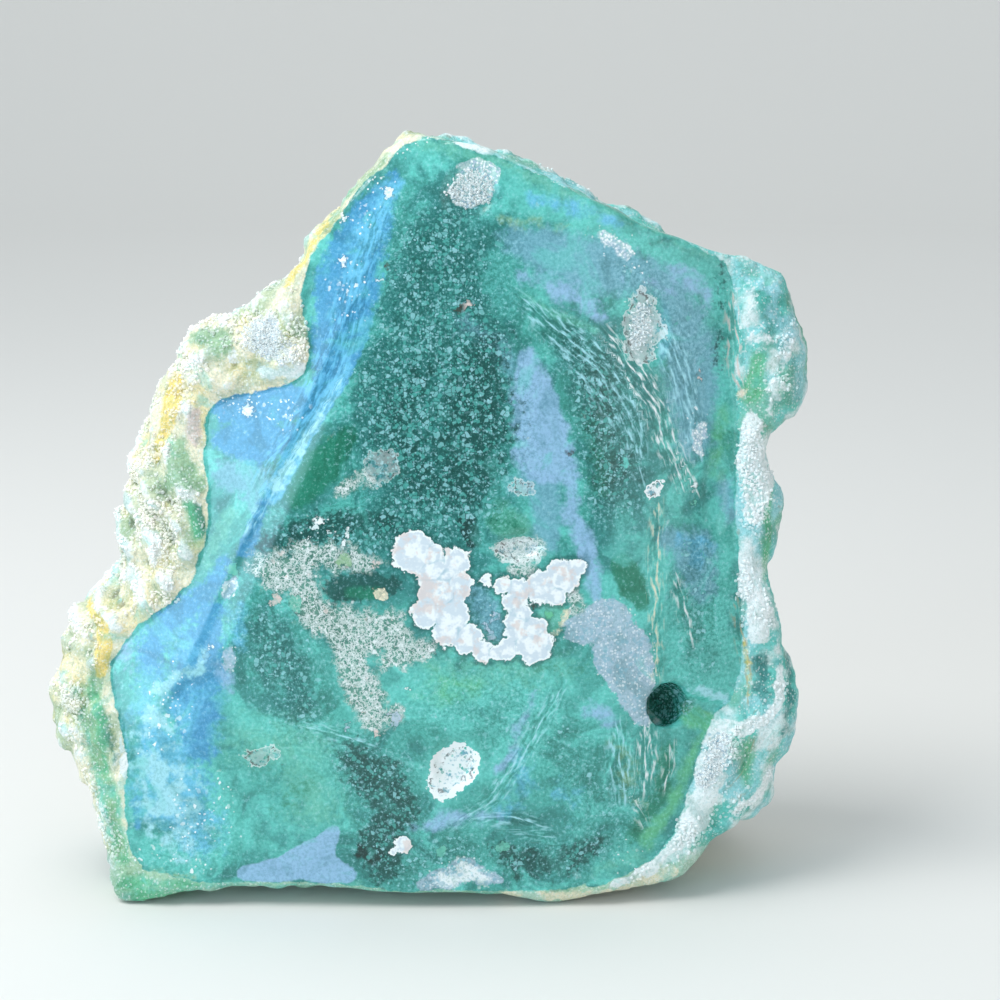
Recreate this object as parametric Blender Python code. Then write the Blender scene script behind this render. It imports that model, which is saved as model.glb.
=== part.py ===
"""Chrysoprase specimen: one chunk of nickel-green chalcedony, polished on its front face only.

The stone is lofted ring by ring about its middle: the polished face, the rind that rolls back
from it to the outline, and the rough back. Broken faces, lumps and ridges are then worked into
the rind, the mesh is thinned where it is flat, the foot is cut level, and the open pit is bored
into the face.

Axes: +X to the right of the polished face, -Y out of the face, +Z up. The origin is under the
middle of the stone, on the surface that it stands on. Lengths named here are in millimetres.
"""

from math import cos, hypot, pi, radians, sin

import bmesh
import bpy
from mathutils import Euler, Matrix, Vector, noise

MM = 0.001

# --- Driving dimensions -----------------------------------------------------------------------
MIDDLE = (0.3, 39.8)         # x, z that the rings are drawn about
FACE_FOOT_Y = -17.0          # where the plane of the polished face meets the ground
FACE_LEAN = 0.11             # the face leans back by this much for each unit of height
FACE_CROWN = 2.4             # how far the polish stands proud of that plane in the middle
CROWN_WIDTH = 40.0           # half the width and height over which that crown dies away
CROWN_HEIGHT = 42.0
BACK_Y = 16.5                # the furthest that the rough back reaches
BACK_TAPER = 0.16            # how fast the back closes in above BACK_TAPER_Z
BACK_TAPER_Z = 30.0
FOOT_Z = 0.5                 # the stone is cut off level here, through its hanging belly
BELLY_DROP = 4.6             # how far the belly hangs below the front edge before that cut
BELLY_RUN = 0.55             # the share of the stone's depth over which it comes down
RIM_INSET = 0.6              # a lumpy rim is drawn this far inside the outline, to be filled

SPOKES = 260
FACE_RINGS = 26
RIND_RINGS = 12
BACK_RINGS = 44
TRIANGLES = 8600             # what is left after thinning
ROUND_CORNER = 2.7           # superellipse power of the back's section at the sides and top
SQUARE_CORNER = 4.6          # the same under the belly, which runs straight back
SOFTEN = radians(26)         # the back's sections follow the outline averaged over this angle

# The corners of the whole stone's outline, clockwise from the top: x, z, and how far each lies
# behind the plane of the face. Half a millimetre is fine enough for broken rock.
OUTLINE = [
    (1, 81.5, 2), (8.5, 79.5, 2), (23, 72, 2), (30, 69.5, 2), (38, 67.5, 4), (38.5, 64, 6),
    # the round lobe at the upper right, and the notch under it
    (40, 61.5, 7), (40.5, 57.5, 7), (40, 52.5, 7), (37, 50.5, 7), (36.5, 47.5, 6), (38.5, 42.5, 6),
    (36.5, 37.5, 6), (37.5, 32, 6),
    # the lower right corner
    (40, 22.5, 6), (39.5, 17, 7), (38, 13, 8), (38, 9, 8), (31.5, 7, 6), (30, 4, 4),
    (24, 2, 2),
    # along the foot
    (15, 0.5, 2), (7, 2, 0.5), (-6, 2, 0.5), (-8, 3, 0.5), (-24, 2.5, 0.5), (-30.5, 0.5, 0.5),
    (-34.5, 0.5, 1),
    # the lower left lobe
    (-35.5, 7, 5), (-38, 14, 7), (-41.5, 17, 8), (-41.5, 21, 8), (-40, 26, 8), (-39, 30, 8),
    # the waist and the folded rind above it
    (-33, 34.5, 9), (-34.5, 38, 9), (-32.5, 46, 8), (-30.5, 50, 7), (-30, 54.5, 7), (-26, 58.5, 6),
    (-25.5, 61, 6), (-16, 65, 3), (-12.5, 70, 3), (-6, 77, 2), (-2, 81.5, 2),
]

# The corners of the polish, clockwise from the top: x, z.
FACE_EDGE = [
    (1, 81.5), (11, 78), (29, 69.5), (32.5, 67.5), (32, 56), (33, 52), (32.5, 40), (34, 23.5),
    (29, 19), (27.5, 10), (24, 5), (18, 2.5), (0, 2.5), (-6, 2.5), (-8, 3.5), (-31.5, 3),
    (-32.5, 12), (-31.5, 16), (-34, 25), (-33, 28.5), (-25, 34.5), (-22.5, 42), (-24, 51),
    (-22, 54.5), (-13, 56), (-12, 60), (-13.5, 66), (-10, 72.5), (-2.5, 80.5),
]
CORNER_CUTS = 2              # how many times each corner is cut off to round it
POLISH_MARGIN = 0.25         # the polish stops at least this far inside the outline

# The left of the face was ground at a second angle. It falls away on the left of this line.
FACET_RIDGE = ((-4.6, 66.0), (-17.2, 39.6))
FACET_SLOPE = 0.30
FACET_BLEND = 2.0            # the width over which the two angles run into each other
FACET_FADE = (8.0, 34.0)     # the second angle comes in between these heights
ROLL_X = 17.0                # the polish rolls off to the right of this
ROLL = 0.013

# Broken faces of the back: a point on each (x, y, z) and the way that it looks.
FRACTURES = [
    ((12.0, 10.6, 62.0), (0.34, 0.84, 0.42)),
    ((-14.0, 10.0, 58.0), (-0.52, 0.80, 0.30)),
    ((33.0, 9.0, 36.0), (0.72, 0.68, 0.12)),
    ((-31.0, 9.6, 22.0), (-0.66, 0.75, 0.04)),
    ((3.0, 15.2, 30.0), (0.10, 0.98, 0.17)),
    ((-8.0, 15.0, 12.0), (-0.16, 0.97, -0.19)),
    ((22.0, 13.2, 9.0), (0.36, 0.88, -0.30)),
]
FRACTURE_BITE = 0.95         # the share of what stands outside a broken face that is gone
RIPPLE_RISE = 0.28           # the curved ripples that a break leaves, spreading from its top
RIPPLE_SPACING = 6.5
RIPPLE_START = 38.0          # how far above the middle of the broken face they spread from

# Rounded ridges and knobs of the rind: from x, z to x, z, how far behind the face they lie,
# and their radius. A knob starts and ends in one place.
RIDGES = [
    # the left, from the top down: the big knob, the crust under it and the draped folds
    ((-22.6, 58.2), (-22.6, 58.2), 4.6, 3.4),
    ((-20.0, 61.6), (-16.5, 63.4), 3.5, 1.8),
    ((-26.2, 55.0), (-25.6, 52.4), 5.5, 2.3),
    ((-29.2, 50.4), (-29.6, 46.8), 6.5, 2.6),
    ((-27.0, 45.4), (-28.6, 43.4), 4.0, 2.0),
    ((-30.2, 44.6), (-32.6, 39.4), 6.4, 2.1),
    ((-27.4, 42.6), (-30.9, 36.0), 4.4, 1.8),
    ((-24.9, 39.4), (-28.4, 34.2), 2.6, 1.5),
    ((-31.0, 33.6), (-31.0, 33.6), 5.5, 2.0),
    # the lower left lobe
    ((-35.2, 29.2), (-37.8, 25.6), 5.2, 2.6),
    ((-39.0, 21.6), (-38.8, 17.8), 6.3, 2.6),
    ((-36.6, 13.6), (-35.2, 9.4), 5.0, 2.2),
    # the right, from the top down: the lobe, the white crust and the lower corner
    ((35.6, 63.6), (37.6, 60.2), 4.5, 2.3),
    ((37.2, 58.4), (37.5, 55.2), 6.0, 2.8),
    ((34.2, 49.6), (33.6, 44.6), 2.6, 1.7),
    ((36.4, 43.0), (35.0, 38.6), 4.5, 2.1),
    ((35.2, 33.8), (35.6, 28.0), 3.4, 1.8),
    ((36.8, 22.4), (37.6, 17.4), 5.0, 2.8),
    ((33.6, 18.2), (30.4, 11.8), 2.2, 1.8),
    ((35.2, 12.6), (31.0, 8.8), 4.0, 1.9),
    ((28.6, 8.6), (25.8, 4.4), 1.8, 1.5),
]
RIDGE_RISE = 0.34            # how far a ridge stands out, as a share of its radius

# Shallow rough-floored hollows in the polish: x, z, half width, half height, depth.
HOLLOWS = [
    (4.6, 75.8, 3.1, 2.9, 0.55), (22.8, 61.4, 2.5, 4.0, 0.60), (2.8, 16.6, 2.5, 3.0, 0.80),
    (9.6, 39.6, 2.6, 1.4, 0.70), (-18.0, 59.6, 3.8, 3.4, 0.60), (30.4, 44.4, 1.8, 4.4, 0.50),
]

# The open pit: x, z, radius of its mouth, depth, and how it slants away under the face.
PIT = (25.6, 22.4)
PIT_RADIUS = 2.35
PIT_DEPTH = 8.0
PIT_TURN = (radians(-16), 0.0, radians(34))
# The groove that runs out of the pit to the lower right corner: end x, z, half width, depth.
GROOVE_END = (32.6, 20.2)
GROOVE_WIDTH = 1.9
GROOVE_DEPTH = 1.5

LUMP_SIZE = 6.4              # the spacing of the larger lumps of the rind
LUMP_RISE = 1.15
GRAIN_SIZE = 3.1             # and of the smaller ones on them
GRAIN_RISE = 0.40
GRAIN_OFFSET = Vector((40.0, 0.0, 0.0))  # keeps the small lumps off the pattern of the large
LUMP_LEVEL = 0.55            # the share of a lump that lies under the surface it grows on
SWELL_SIZE = 14.0            # the slow rise and fall of the rind
SWELL_RISE = 0.9
BREAK_CALM = 0.75            # the share of the relief that a broken face has lost

STONE_GREEN = (0.045, 0.300, 0.235, 1.0)


# --- The outline and the sections ---------------------------------------------------------------
def rounded(corners):
    """The closed line through the corners with each of them cut off, again and again."""
    for _ in range(CORNER_CUTS):
        corners = [
            tuple(a + (b - a) * share for a, b in zip(here, there))
            for here, there in zip(corners, corners[1:] + corners[:1])
            for share in (0.25, 0.75)
        ]
    return corners


def across(outline, angle):
    """Where the ray from MIDDLE at this angle meets the outline: its length and the third value."""
    ray = Vector((cos(angle), sin(angle)))
    for here, there in zip(outline, outline[1:] + outline[:1]):
        a = Vector((here[0] - MIDDLE[0], here[1] - MIDDLE[1]))
        b = Vector((there[0] - MIDDLE[0], there[1] - MIDDLE[1]))
        side_a, side_b = ray.cross(a), ray.cross(b)
        if side_a * side_b > 0 or side_a == side_b:
            continue
        share = side_a / (side_a - side_b)
        point = a.lerp(b, share)
        if point.dot(ray) > 0:
            extra = (here[2] * (1 - share) + there[2] * share) if len(here) > 2 else 0.0
            return point.length, extra
    raise ValueError("the outline doesn't go round MIDDLE")


def smooth_step(low, high, value):
    t = min(max((value - low) / (high - low), 0.0), 1.0)
    return t * t * (3 - 2 * t)


def facet_fall(x, z):
    """How far the second ground angle lies behind the first at this point of the face."""
    (x0, z0), (x1, z1) = FACET_RIDGE
    run = hypot(x1 - x0, z1 - z0)
    beyond = ((z1 - z0) * (x - x0) - (x1 - x0) * (z - z0)) / run
    blended = FACET_BLEND * smooth_step(-FACET_BLEND, FACET_BLEND, beyond)
    eased = beyond if beyond > FACET_BLEND else blended
    return FACET_SLOPE * eased * smooth_step(*FACET_FADE, z)


def face_y(x, z):
    """The polished face: a leaning, gently crowned plane with a ground facet and a rolled edge."""
    out = hypot((x - MIDDLE[0]) / CROWN_WIDTH, (z - MIDDLE[1]) / CROWN_HEIGHT)
    crown = FACE_CROWN * max(0.0, 1.0 - out * out)
    roll = ROLL * max(0.0, x - ROLL_X) ** 2
    return FACE_FOOT_Y + FACE_LEAN * z - crown + roll + facet_fall(x, z)


def back_y(z):
    return BACK_Y - BACK_TAPER * max(0.0, z - BACK_TAPER_Z)


def belly(angle):
    """1 for a spoke that points straight down, falling to 0 at the sides."""
    return smooth_step(0.40, 0.74, -sin(angle))


def spokes():
    """For each spoke: its angle, where it leaves the polish, and the rim, sharp and softened."""
    angles = [2 * pi * k / SPOKES for k in range(SPOKES)]
    outline, polish = rounded(OUTLINE), rounded(FACE_EDGE)
    rims = [across(outline, angle) for angle in angles]
    rims = [(rim_r - RIM_INSET * smooth_step(2.0, 5.0, back), back) for rim_r, back in rims]
    reach = round(SOFTEN / (2 * pi) * SPOKES)
    found = []
    for k, angle in enumerate(angles):
        rim_r, set_back = rims[k]
        face_r = min(across(polish, angle)[0], rim_r - POLISH_MARGIN)
        near = [rims[(k + step) % SPOKES][0] for step in range(-reach, reach + 1)]
        found.append((angle, face_r, rim_r, set_back, sum(near) / len(near)))
    return found


def on_spoke(angle, r):
    return MIDDLE[0] + r * cos(angle), MIDDLE[1] + r * sin(angle)


def section_point(spoke, kind, share):
    """One point of the loft. share runs from 0 to 1 over the face, the rind or the back."""
    angle, face_r, rim_r, set_back, soft_r = spoke
    turn = share * pi / 2
    if kind == "face":
        x, z = on_spoke(angle, face_r * share)
        return Vector((x, face_y(x, z), z))
    edge_y = face_y(*on_spoke(angle, face_r))
    rim_y = FACE_FOOT_Y + FACE_LEAN * on_spoke(angle, rim_r)[1] + set_back
    if kind == "rind":
        x, z = on_spoke(angle, face_r + (rim_r - face_r) * sin(turn))
        return Vector((x, edge_y + (rim_y - edge_y) * (1 - cos(turn)), z))
    corner = ROUND_CORNER + (SQUARE_CORNER - ROUND_CORNER) * belly(angle)
    reach = (cos(turn) ** corner + sin(turn) ** corner) ** (-1 / corner)
    width = rim_r + (soft_r - rim_r) * smooth_step(0.0, 0.6, share)
    x, z = on_spoke(angle, width * reach * cos(turn))
    depth = reach * sin(turn)
    y = rim_y + (back_y(z) - rim_y) * depth
    return Vector((x, y, z - BELLY_DROP * belly(angle) * smooth_step(0.0, BELLY_RUN, depth)))


# --- Relief ------------------------------------------------------------------------------------
def lumps(point, size):
    """Rounded, grape-like relief: 1 on top of a lump, 0 in the seams between them."""
    nearest = noise.voronoi(point / size)[0][0]
    return max(0.0, 1.0 - nearest * nearest * 1.6)


def rind_relief(point):
    large = lumps(point, LUMP_SIZE) - LUMP_LEVEL
    small = lumps(point + GRAIN_OFFSET, GRAIN_SIZE) - LUMP_LEVEL
    return LUMP_RISE * large + GRAIN_RISE * small + SWELL_RISE * noise.noise(point / SWELL_SIZE)


def ridge_relief(point):
    rise = 0.0
    for start, end, behind, radius in RIDGES:
        a = Vector((start[0], FACE_FOOT_Y + FACE_LEAN * start[1] + behind, start[1]))
        b = Vector((end[0], FACE_FOOT_Y + FACE_LEAN * end[1] + behind, end[1]))
        run = b - a
        along = 0.0 if start == end else min(max((point - a).dot(run) / run.length_squared, 0), 1)
        near = 1.0 - (point - a - run * along).length_squared / (1.7 * radius) ** 2
        rise = max(rise, RIDGE_RISE * radius * max(0.0, near))
    return rise


def hollow_depth(x, z):
    depth = 0.0
    for mid_x, mid_z, half_x, half_z, deep in HOLLOWS:
        out = hypot((x - mid_x) / half_x, (z - mid_z) / half_z)
        depth = max(depth, deep * (1 - smooth_step(0.55, 1.1, out)))
    return depth


def groove_depth(x, z):
    start, end = Vector(PIT), Vector(GROOVE_END)
    run = end - start
    along = min(max((Vector((x, z)) - start).dot(run) / run.length_squared, 0.0), 1.0)
    away = (Vector((x, z)) - start - run * along).length
    return GROOVE_DEPTH * (1 - 0.5 * along) * (1 - smooth_step(0.2, 1.0, away / GROOVE_WIDTH))


def break_back(point):
    """Takes off what stands outside each broken face. Also gives the ripple left in the break."""
    ripple = Vector()
    for place, looks in FRACTURES:
        normal = Vector(looks).normalized()
        outside = (point - Vector(place)).dot(normal)
        if outside > 0:
            point = point - normal * outside * FRACTURE_BITE
            spread = (point - Vector(place) - Vector((0, 0, RIPPLE_START))).length
            wave = sin(2 * pi * (spread / RIPPLE_SPACING + noise.noise(point / 9.0)))
            ripple = normal * RIPPLE_RISE * wave * smooth_step(0.0, 1.5, outside)
    return point, ripple


# --- The solid ---------------------------------------------------------------------------------
def close_ring(body, centre, ring):
    """Fans a ring in to one point."""
    pole = body.verts.new(centre)
    for here, there in zip(ring, ring[1:] + ring[:1]):
        body.faces.new((pole, here, there))
    return pole


def loft():
    """The closed stone, and a layer that is 1 where it is rind and 0 where it is polished."""
    body = bmesh.new()
    rough = body.verts.layers.float.new("rough")
    plan = [("face", (k + 1) / FACE_RINGS, 0.0) for k in range(FACE_RINGS)]
    plan += [("rind", (k + 1) / RIND_RINGS, 1.0) for k in range(RIND_RINGS)]
    plan += [("back", (k + 1) / (BACK_RINGS + 1), 1.0) for k in range(BACK_RINGS)]
    around = spokes()
    rings = []
    for kind, share, roughness in plan:
        ring = [body.verts.new(section_point(spoke, kind, share)) for spoke in around]
        for vert in ring:
            vert[rough] = roughness
        rings.append(ring)
    for inner, outer in zip(rings, rings[1:]):
        for k in range(SPOKES):
            after = (k + 1) % SPOKES
            body.faces.new((inner[k], outer[k], outer[after], inner[after]))
    close_ring(body, (MIDDLE[0], face_y(*MIDDLE), MIDDLE[1]), rings[0])[rough] = 0.0
    close_ring(body, (MIDDLE[0], back_y(MIDDLE[1]), MIDDLE[1]), rings[-1])[rough] = 1.0
    bmesh.ops.recalc_face_normals(body, faces=body.faces)
    return body, rough


def work_surface(body, rough):
    """Moves the vertices to give the polish its hollows, and the rind its lumps and breaks."""
    body.normal_update()
    moved = {}
    for vert in body.verts:
        x, y, z = vert.co
        behind = y - face_y(x, z)
        if vert[rough] > 0:
            place, ripple = break_back(vert.co)
            broken = min(1.0, (place - vert.co).length / 1.5)
            rise = rind_relief(place) * (1 - BREAK_CALM * broken) * smooth_step(-0.5, 2.5, behind)
            rise += ridge_relief(place)
            moved[vert] = place + vert.normal * rise + ripple
        else:
            moved[vert] = vert.co + Vector((0, hollow_depth(x, z) + groove_depth(x, z), 0))
    for vert, place in moved.items():
        vert.co = place


def thin_out(body):
    """Thins the mesh to TRIANGLES triangles, most of them left where it is lumpy."""
    bmesh.ops.triangulate(body, faces=body.faces)
    dense = bpy.data.meshes.new("dense")
    body.to_mesh(dense)
    holder = bpy.data.objects.new("dense", dense)
    bpy.context.scene.collection.objects.link(holder)
    thin = holder.modifiers.new("thin", "DECIMATE")
    thin.ratio = TRIANGLES / len(body.faces)
    bpy.context.view_layer.update()
    graph = bpy.context.evaluated_depsgraph_get()
    body.clear()
    body.from_mesh(holder.evaluated_get(graph).data)
    bpy.data.objects.remove(holder)


def cut_foot(body):
    """Cuts the stone off level through its belly, and closes the cut."""
    cut = bmesh.ops.bisect_plane(
        body, geom=body.verts[:] + body.edges[:] + body.faces[:], dist=1e-4,
        plane_co=(0, 0, FOOT_Z), plane_no=(0, 0, 1), clear_inner=True,
    )
    rim = [piece for piece in cut["geom_cut"] if isinstance(piece, bmesh.types.BMEdge)]
    bmesh.ops.holes_fill(body, edges=rim, sides=0)


def rest_on_origin(body):
    """Moves the stone so that the origin is under its middle. Returns the move."""
    low = Vector([min(vert.co[i] for vert in body.verts) for i in range(3)])
    high = Vector([max(vert.co[i] for vert in body.verts) for i in range(3)])
    move = Vector((-(low.x + high.x) / 2, -(low.y + high.y) / 2, -low.z))
    bmesh.ops.translate(body, verts=body.verts, vec=move)
    return move


def green_chalcedony():
    material = bpy.data.materials.new("green_chalcedony")
    material.use_nodes = True
    surface = material.node_tree.nodes["Principled BSDF"]
    surface.inputs["Base Color"].default_value = STONE_GREEN
    surface.inputs["Roughness"].default_value = 0.12
    surface.inputs["Metallic"].default_value = 0.0
    surface.inputs["IOR"].default_value = 1.54
    return material


def pit_cutter(move):
    """A stretched ball that slants in under the face, kept out of the render."""
    bpy.ops.mesh.primitive_uv_sphere_add(segments=18, ring_count=12, radius=1.0)
    cutter = bpy.context.object
    cutter.name = "pit_cutter"
    turn = Euler(PIT_TURN).to_matrix().to_4x4()
    shape = Matrix.Diagonal((PIT_RADIUS, PIT_DEPTH, PIT_RADIUS, 1.0))
    place = Vector((PIT[0], face_y(*PIT), PIT[1])) + move
    cutter.data.transform(Matrix.Scale(MM, 4) @ Matrix.Translation(place) @ turn @ shape)
    cutter.hide_render = True
    cutter.display_type = "WIRE"
    return cutter


def build_stone():
    body, rough = loft()
    work_surface(body, rough)
    thin_out(body)
    cut_foot(body)
    move = rest_on_origin(body)
    bmesh.ops.scale(body, verts=body.verts, vec=(MM, MM, MM))
    bmesh.ops.recalc_face_normals(body, faces=body.faces)
    mesh = bpy.data.meshes.new("chrysoprase_stone")
    body.to_mesh(mesh)
    body.free()
    mesh.shade_smooth()
    mesh.set_sharp_from_angle(angle=radians(50))
    stone = bpy.data.objects.new("chrysoprase_stone", mesh)
    bpy.context.scene.collection.objects.link(stone)
    stone.data.materials.append(green_chalcedony())
    bore = stone.modifiers.new("open_pit", "BOOLEAN")
    bore.operation = "DIFFERENCE"
    bore.solver = "EXACT"
    bore.object = pit_cutter(move)
    return stone


def main():
    for obj in list(bpy.data.objects):
        bpy.data.objects.remove(obj)
    build_stone()


main()
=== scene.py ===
from functools import partial
from math import radians

import bmesh
import bpy
import numpy as np
from bpy.props import FloatProperty, FloatVectorProperty, IntProperty, PointerProperty
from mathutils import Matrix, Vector


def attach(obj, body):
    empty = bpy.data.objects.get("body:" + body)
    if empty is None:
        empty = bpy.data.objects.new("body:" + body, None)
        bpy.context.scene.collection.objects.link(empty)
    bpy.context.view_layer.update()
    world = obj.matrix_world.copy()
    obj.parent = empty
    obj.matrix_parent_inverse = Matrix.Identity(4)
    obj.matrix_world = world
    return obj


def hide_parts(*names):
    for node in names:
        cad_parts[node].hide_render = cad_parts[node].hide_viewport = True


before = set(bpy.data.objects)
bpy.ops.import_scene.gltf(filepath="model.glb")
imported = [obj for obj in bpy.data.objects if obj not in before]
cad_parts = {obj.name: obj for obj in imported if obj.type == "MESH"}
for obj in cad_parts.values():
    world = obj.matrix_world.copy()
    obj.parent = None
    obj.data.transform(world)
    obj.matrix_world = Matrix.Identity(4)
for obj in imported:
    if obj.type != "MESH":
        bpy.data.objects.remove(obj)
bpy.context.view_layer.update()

bl_info = {
    "name": "Chrysoprase specimen",
    "version": (1, 0, 0),
    "blender": (4, 5, 0),
    "location": "3D View > Sidebar > Specimen",
    "description": "Dresses a half-polished chunk of chrysoprase, with its colours and its stage",
    "category": "Add Mesh",
}

NODE = "chrysoprase_stone"
MM = 0.001

# Places below are x, z in millimetres on the stone's own drawing, which lies SHIFT from the origin.
SHIFT = np.array((0.676, 0.025, -0.5))

# --- The polished face, as the solid has it ---------------------------------------------------
MIDDLE = (0.3, 39.8)
FACE_FOOT_Y = -17.0
FACE_LEAN = 0.11
FACE_CROWN = 2.4
CROWN_SPREAD = (40.0, 42.0)
FACET_RIDGE = ((-4.6, 66.0), (-17.2, 39.6))
FACET_SLOPE = 0.30
FACET_BLEND = 2.0
FACET_FADE = (8.0, 34.0)
BLUE_EDGE = [                # the right edge of the blue on the facet, partly painted sky reflection, where its colour ends crisply
    (-16.2, 42.4), (-14.2, 46.2), (-11.7, 51), (-8.7, 55.4), (-6.3, 60), (-5.2, 63), (-3.3, 70.4),
]
BLUE_EDGE_SOFT = 0.15
BLUE_FOOT = (42.0, 43.4)     # the edge comes up between these heights
BLUE_TOP = (70.4, 68.0)      # and ends between these
ROLL_X = 17.0
ROLL = 0.013
PIT = (25.6, 22.4)
PIT_CLEAR = 3.2              # the skin is left as it is this near the pit
PIT_CORE = 2.4               # and it is all pit this near
PIT_REACH = 9.0              # the pit goes no deeper than this behind the face
GROOVE_END = (32.6, 20.2)
GROOVE_WIDTH = 1.9
GROOVE_DEPTH = 1.5
# Hollows in the polish: middle, half width, half height and depth.
HOLLOWS = [
    (4.6, 75.8, 3.1, 2.9, 0.55), (22.8, 61.4, 2.5, 4.0, 0.60), (2.8, 16.6, 2.5, 3.0, 0.80),
    (9.6, 39.6, 2.6, 1.4, 0.70), (-18.0, 59.6, 3.8, 3.4, 0.60), (30.4, 44.4, 1.8, 4.4, 0.50),
]
FOOT = 0.5                   # the height of the flat foot
# Corners of the edge of the polish, which are rounded off.
FACE_EDGE = [
    (1, 81.5), (11, 78), (29, 69.5), (32.5, 67.5), (32, 56), (33, 52), (32.5, 40), (34, 23.5),
    (29, 19), (27.5, 10), (24, 5), (18, 2.5), (0, 2.5), (-6, 2.5), (-8, 3.5), (-31.5, 3),
    (-32.5, 12), (-31.5, 16), (-34, 25), (-33, 28.5), (-25, 34.5), (-22.5, 42), (-24, 51),
    (-22, 54.5), (-13, 56), (-12, 60), (-13.5, 66), (-10, 72.5), (-2.5, 80.5),
]

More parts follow.
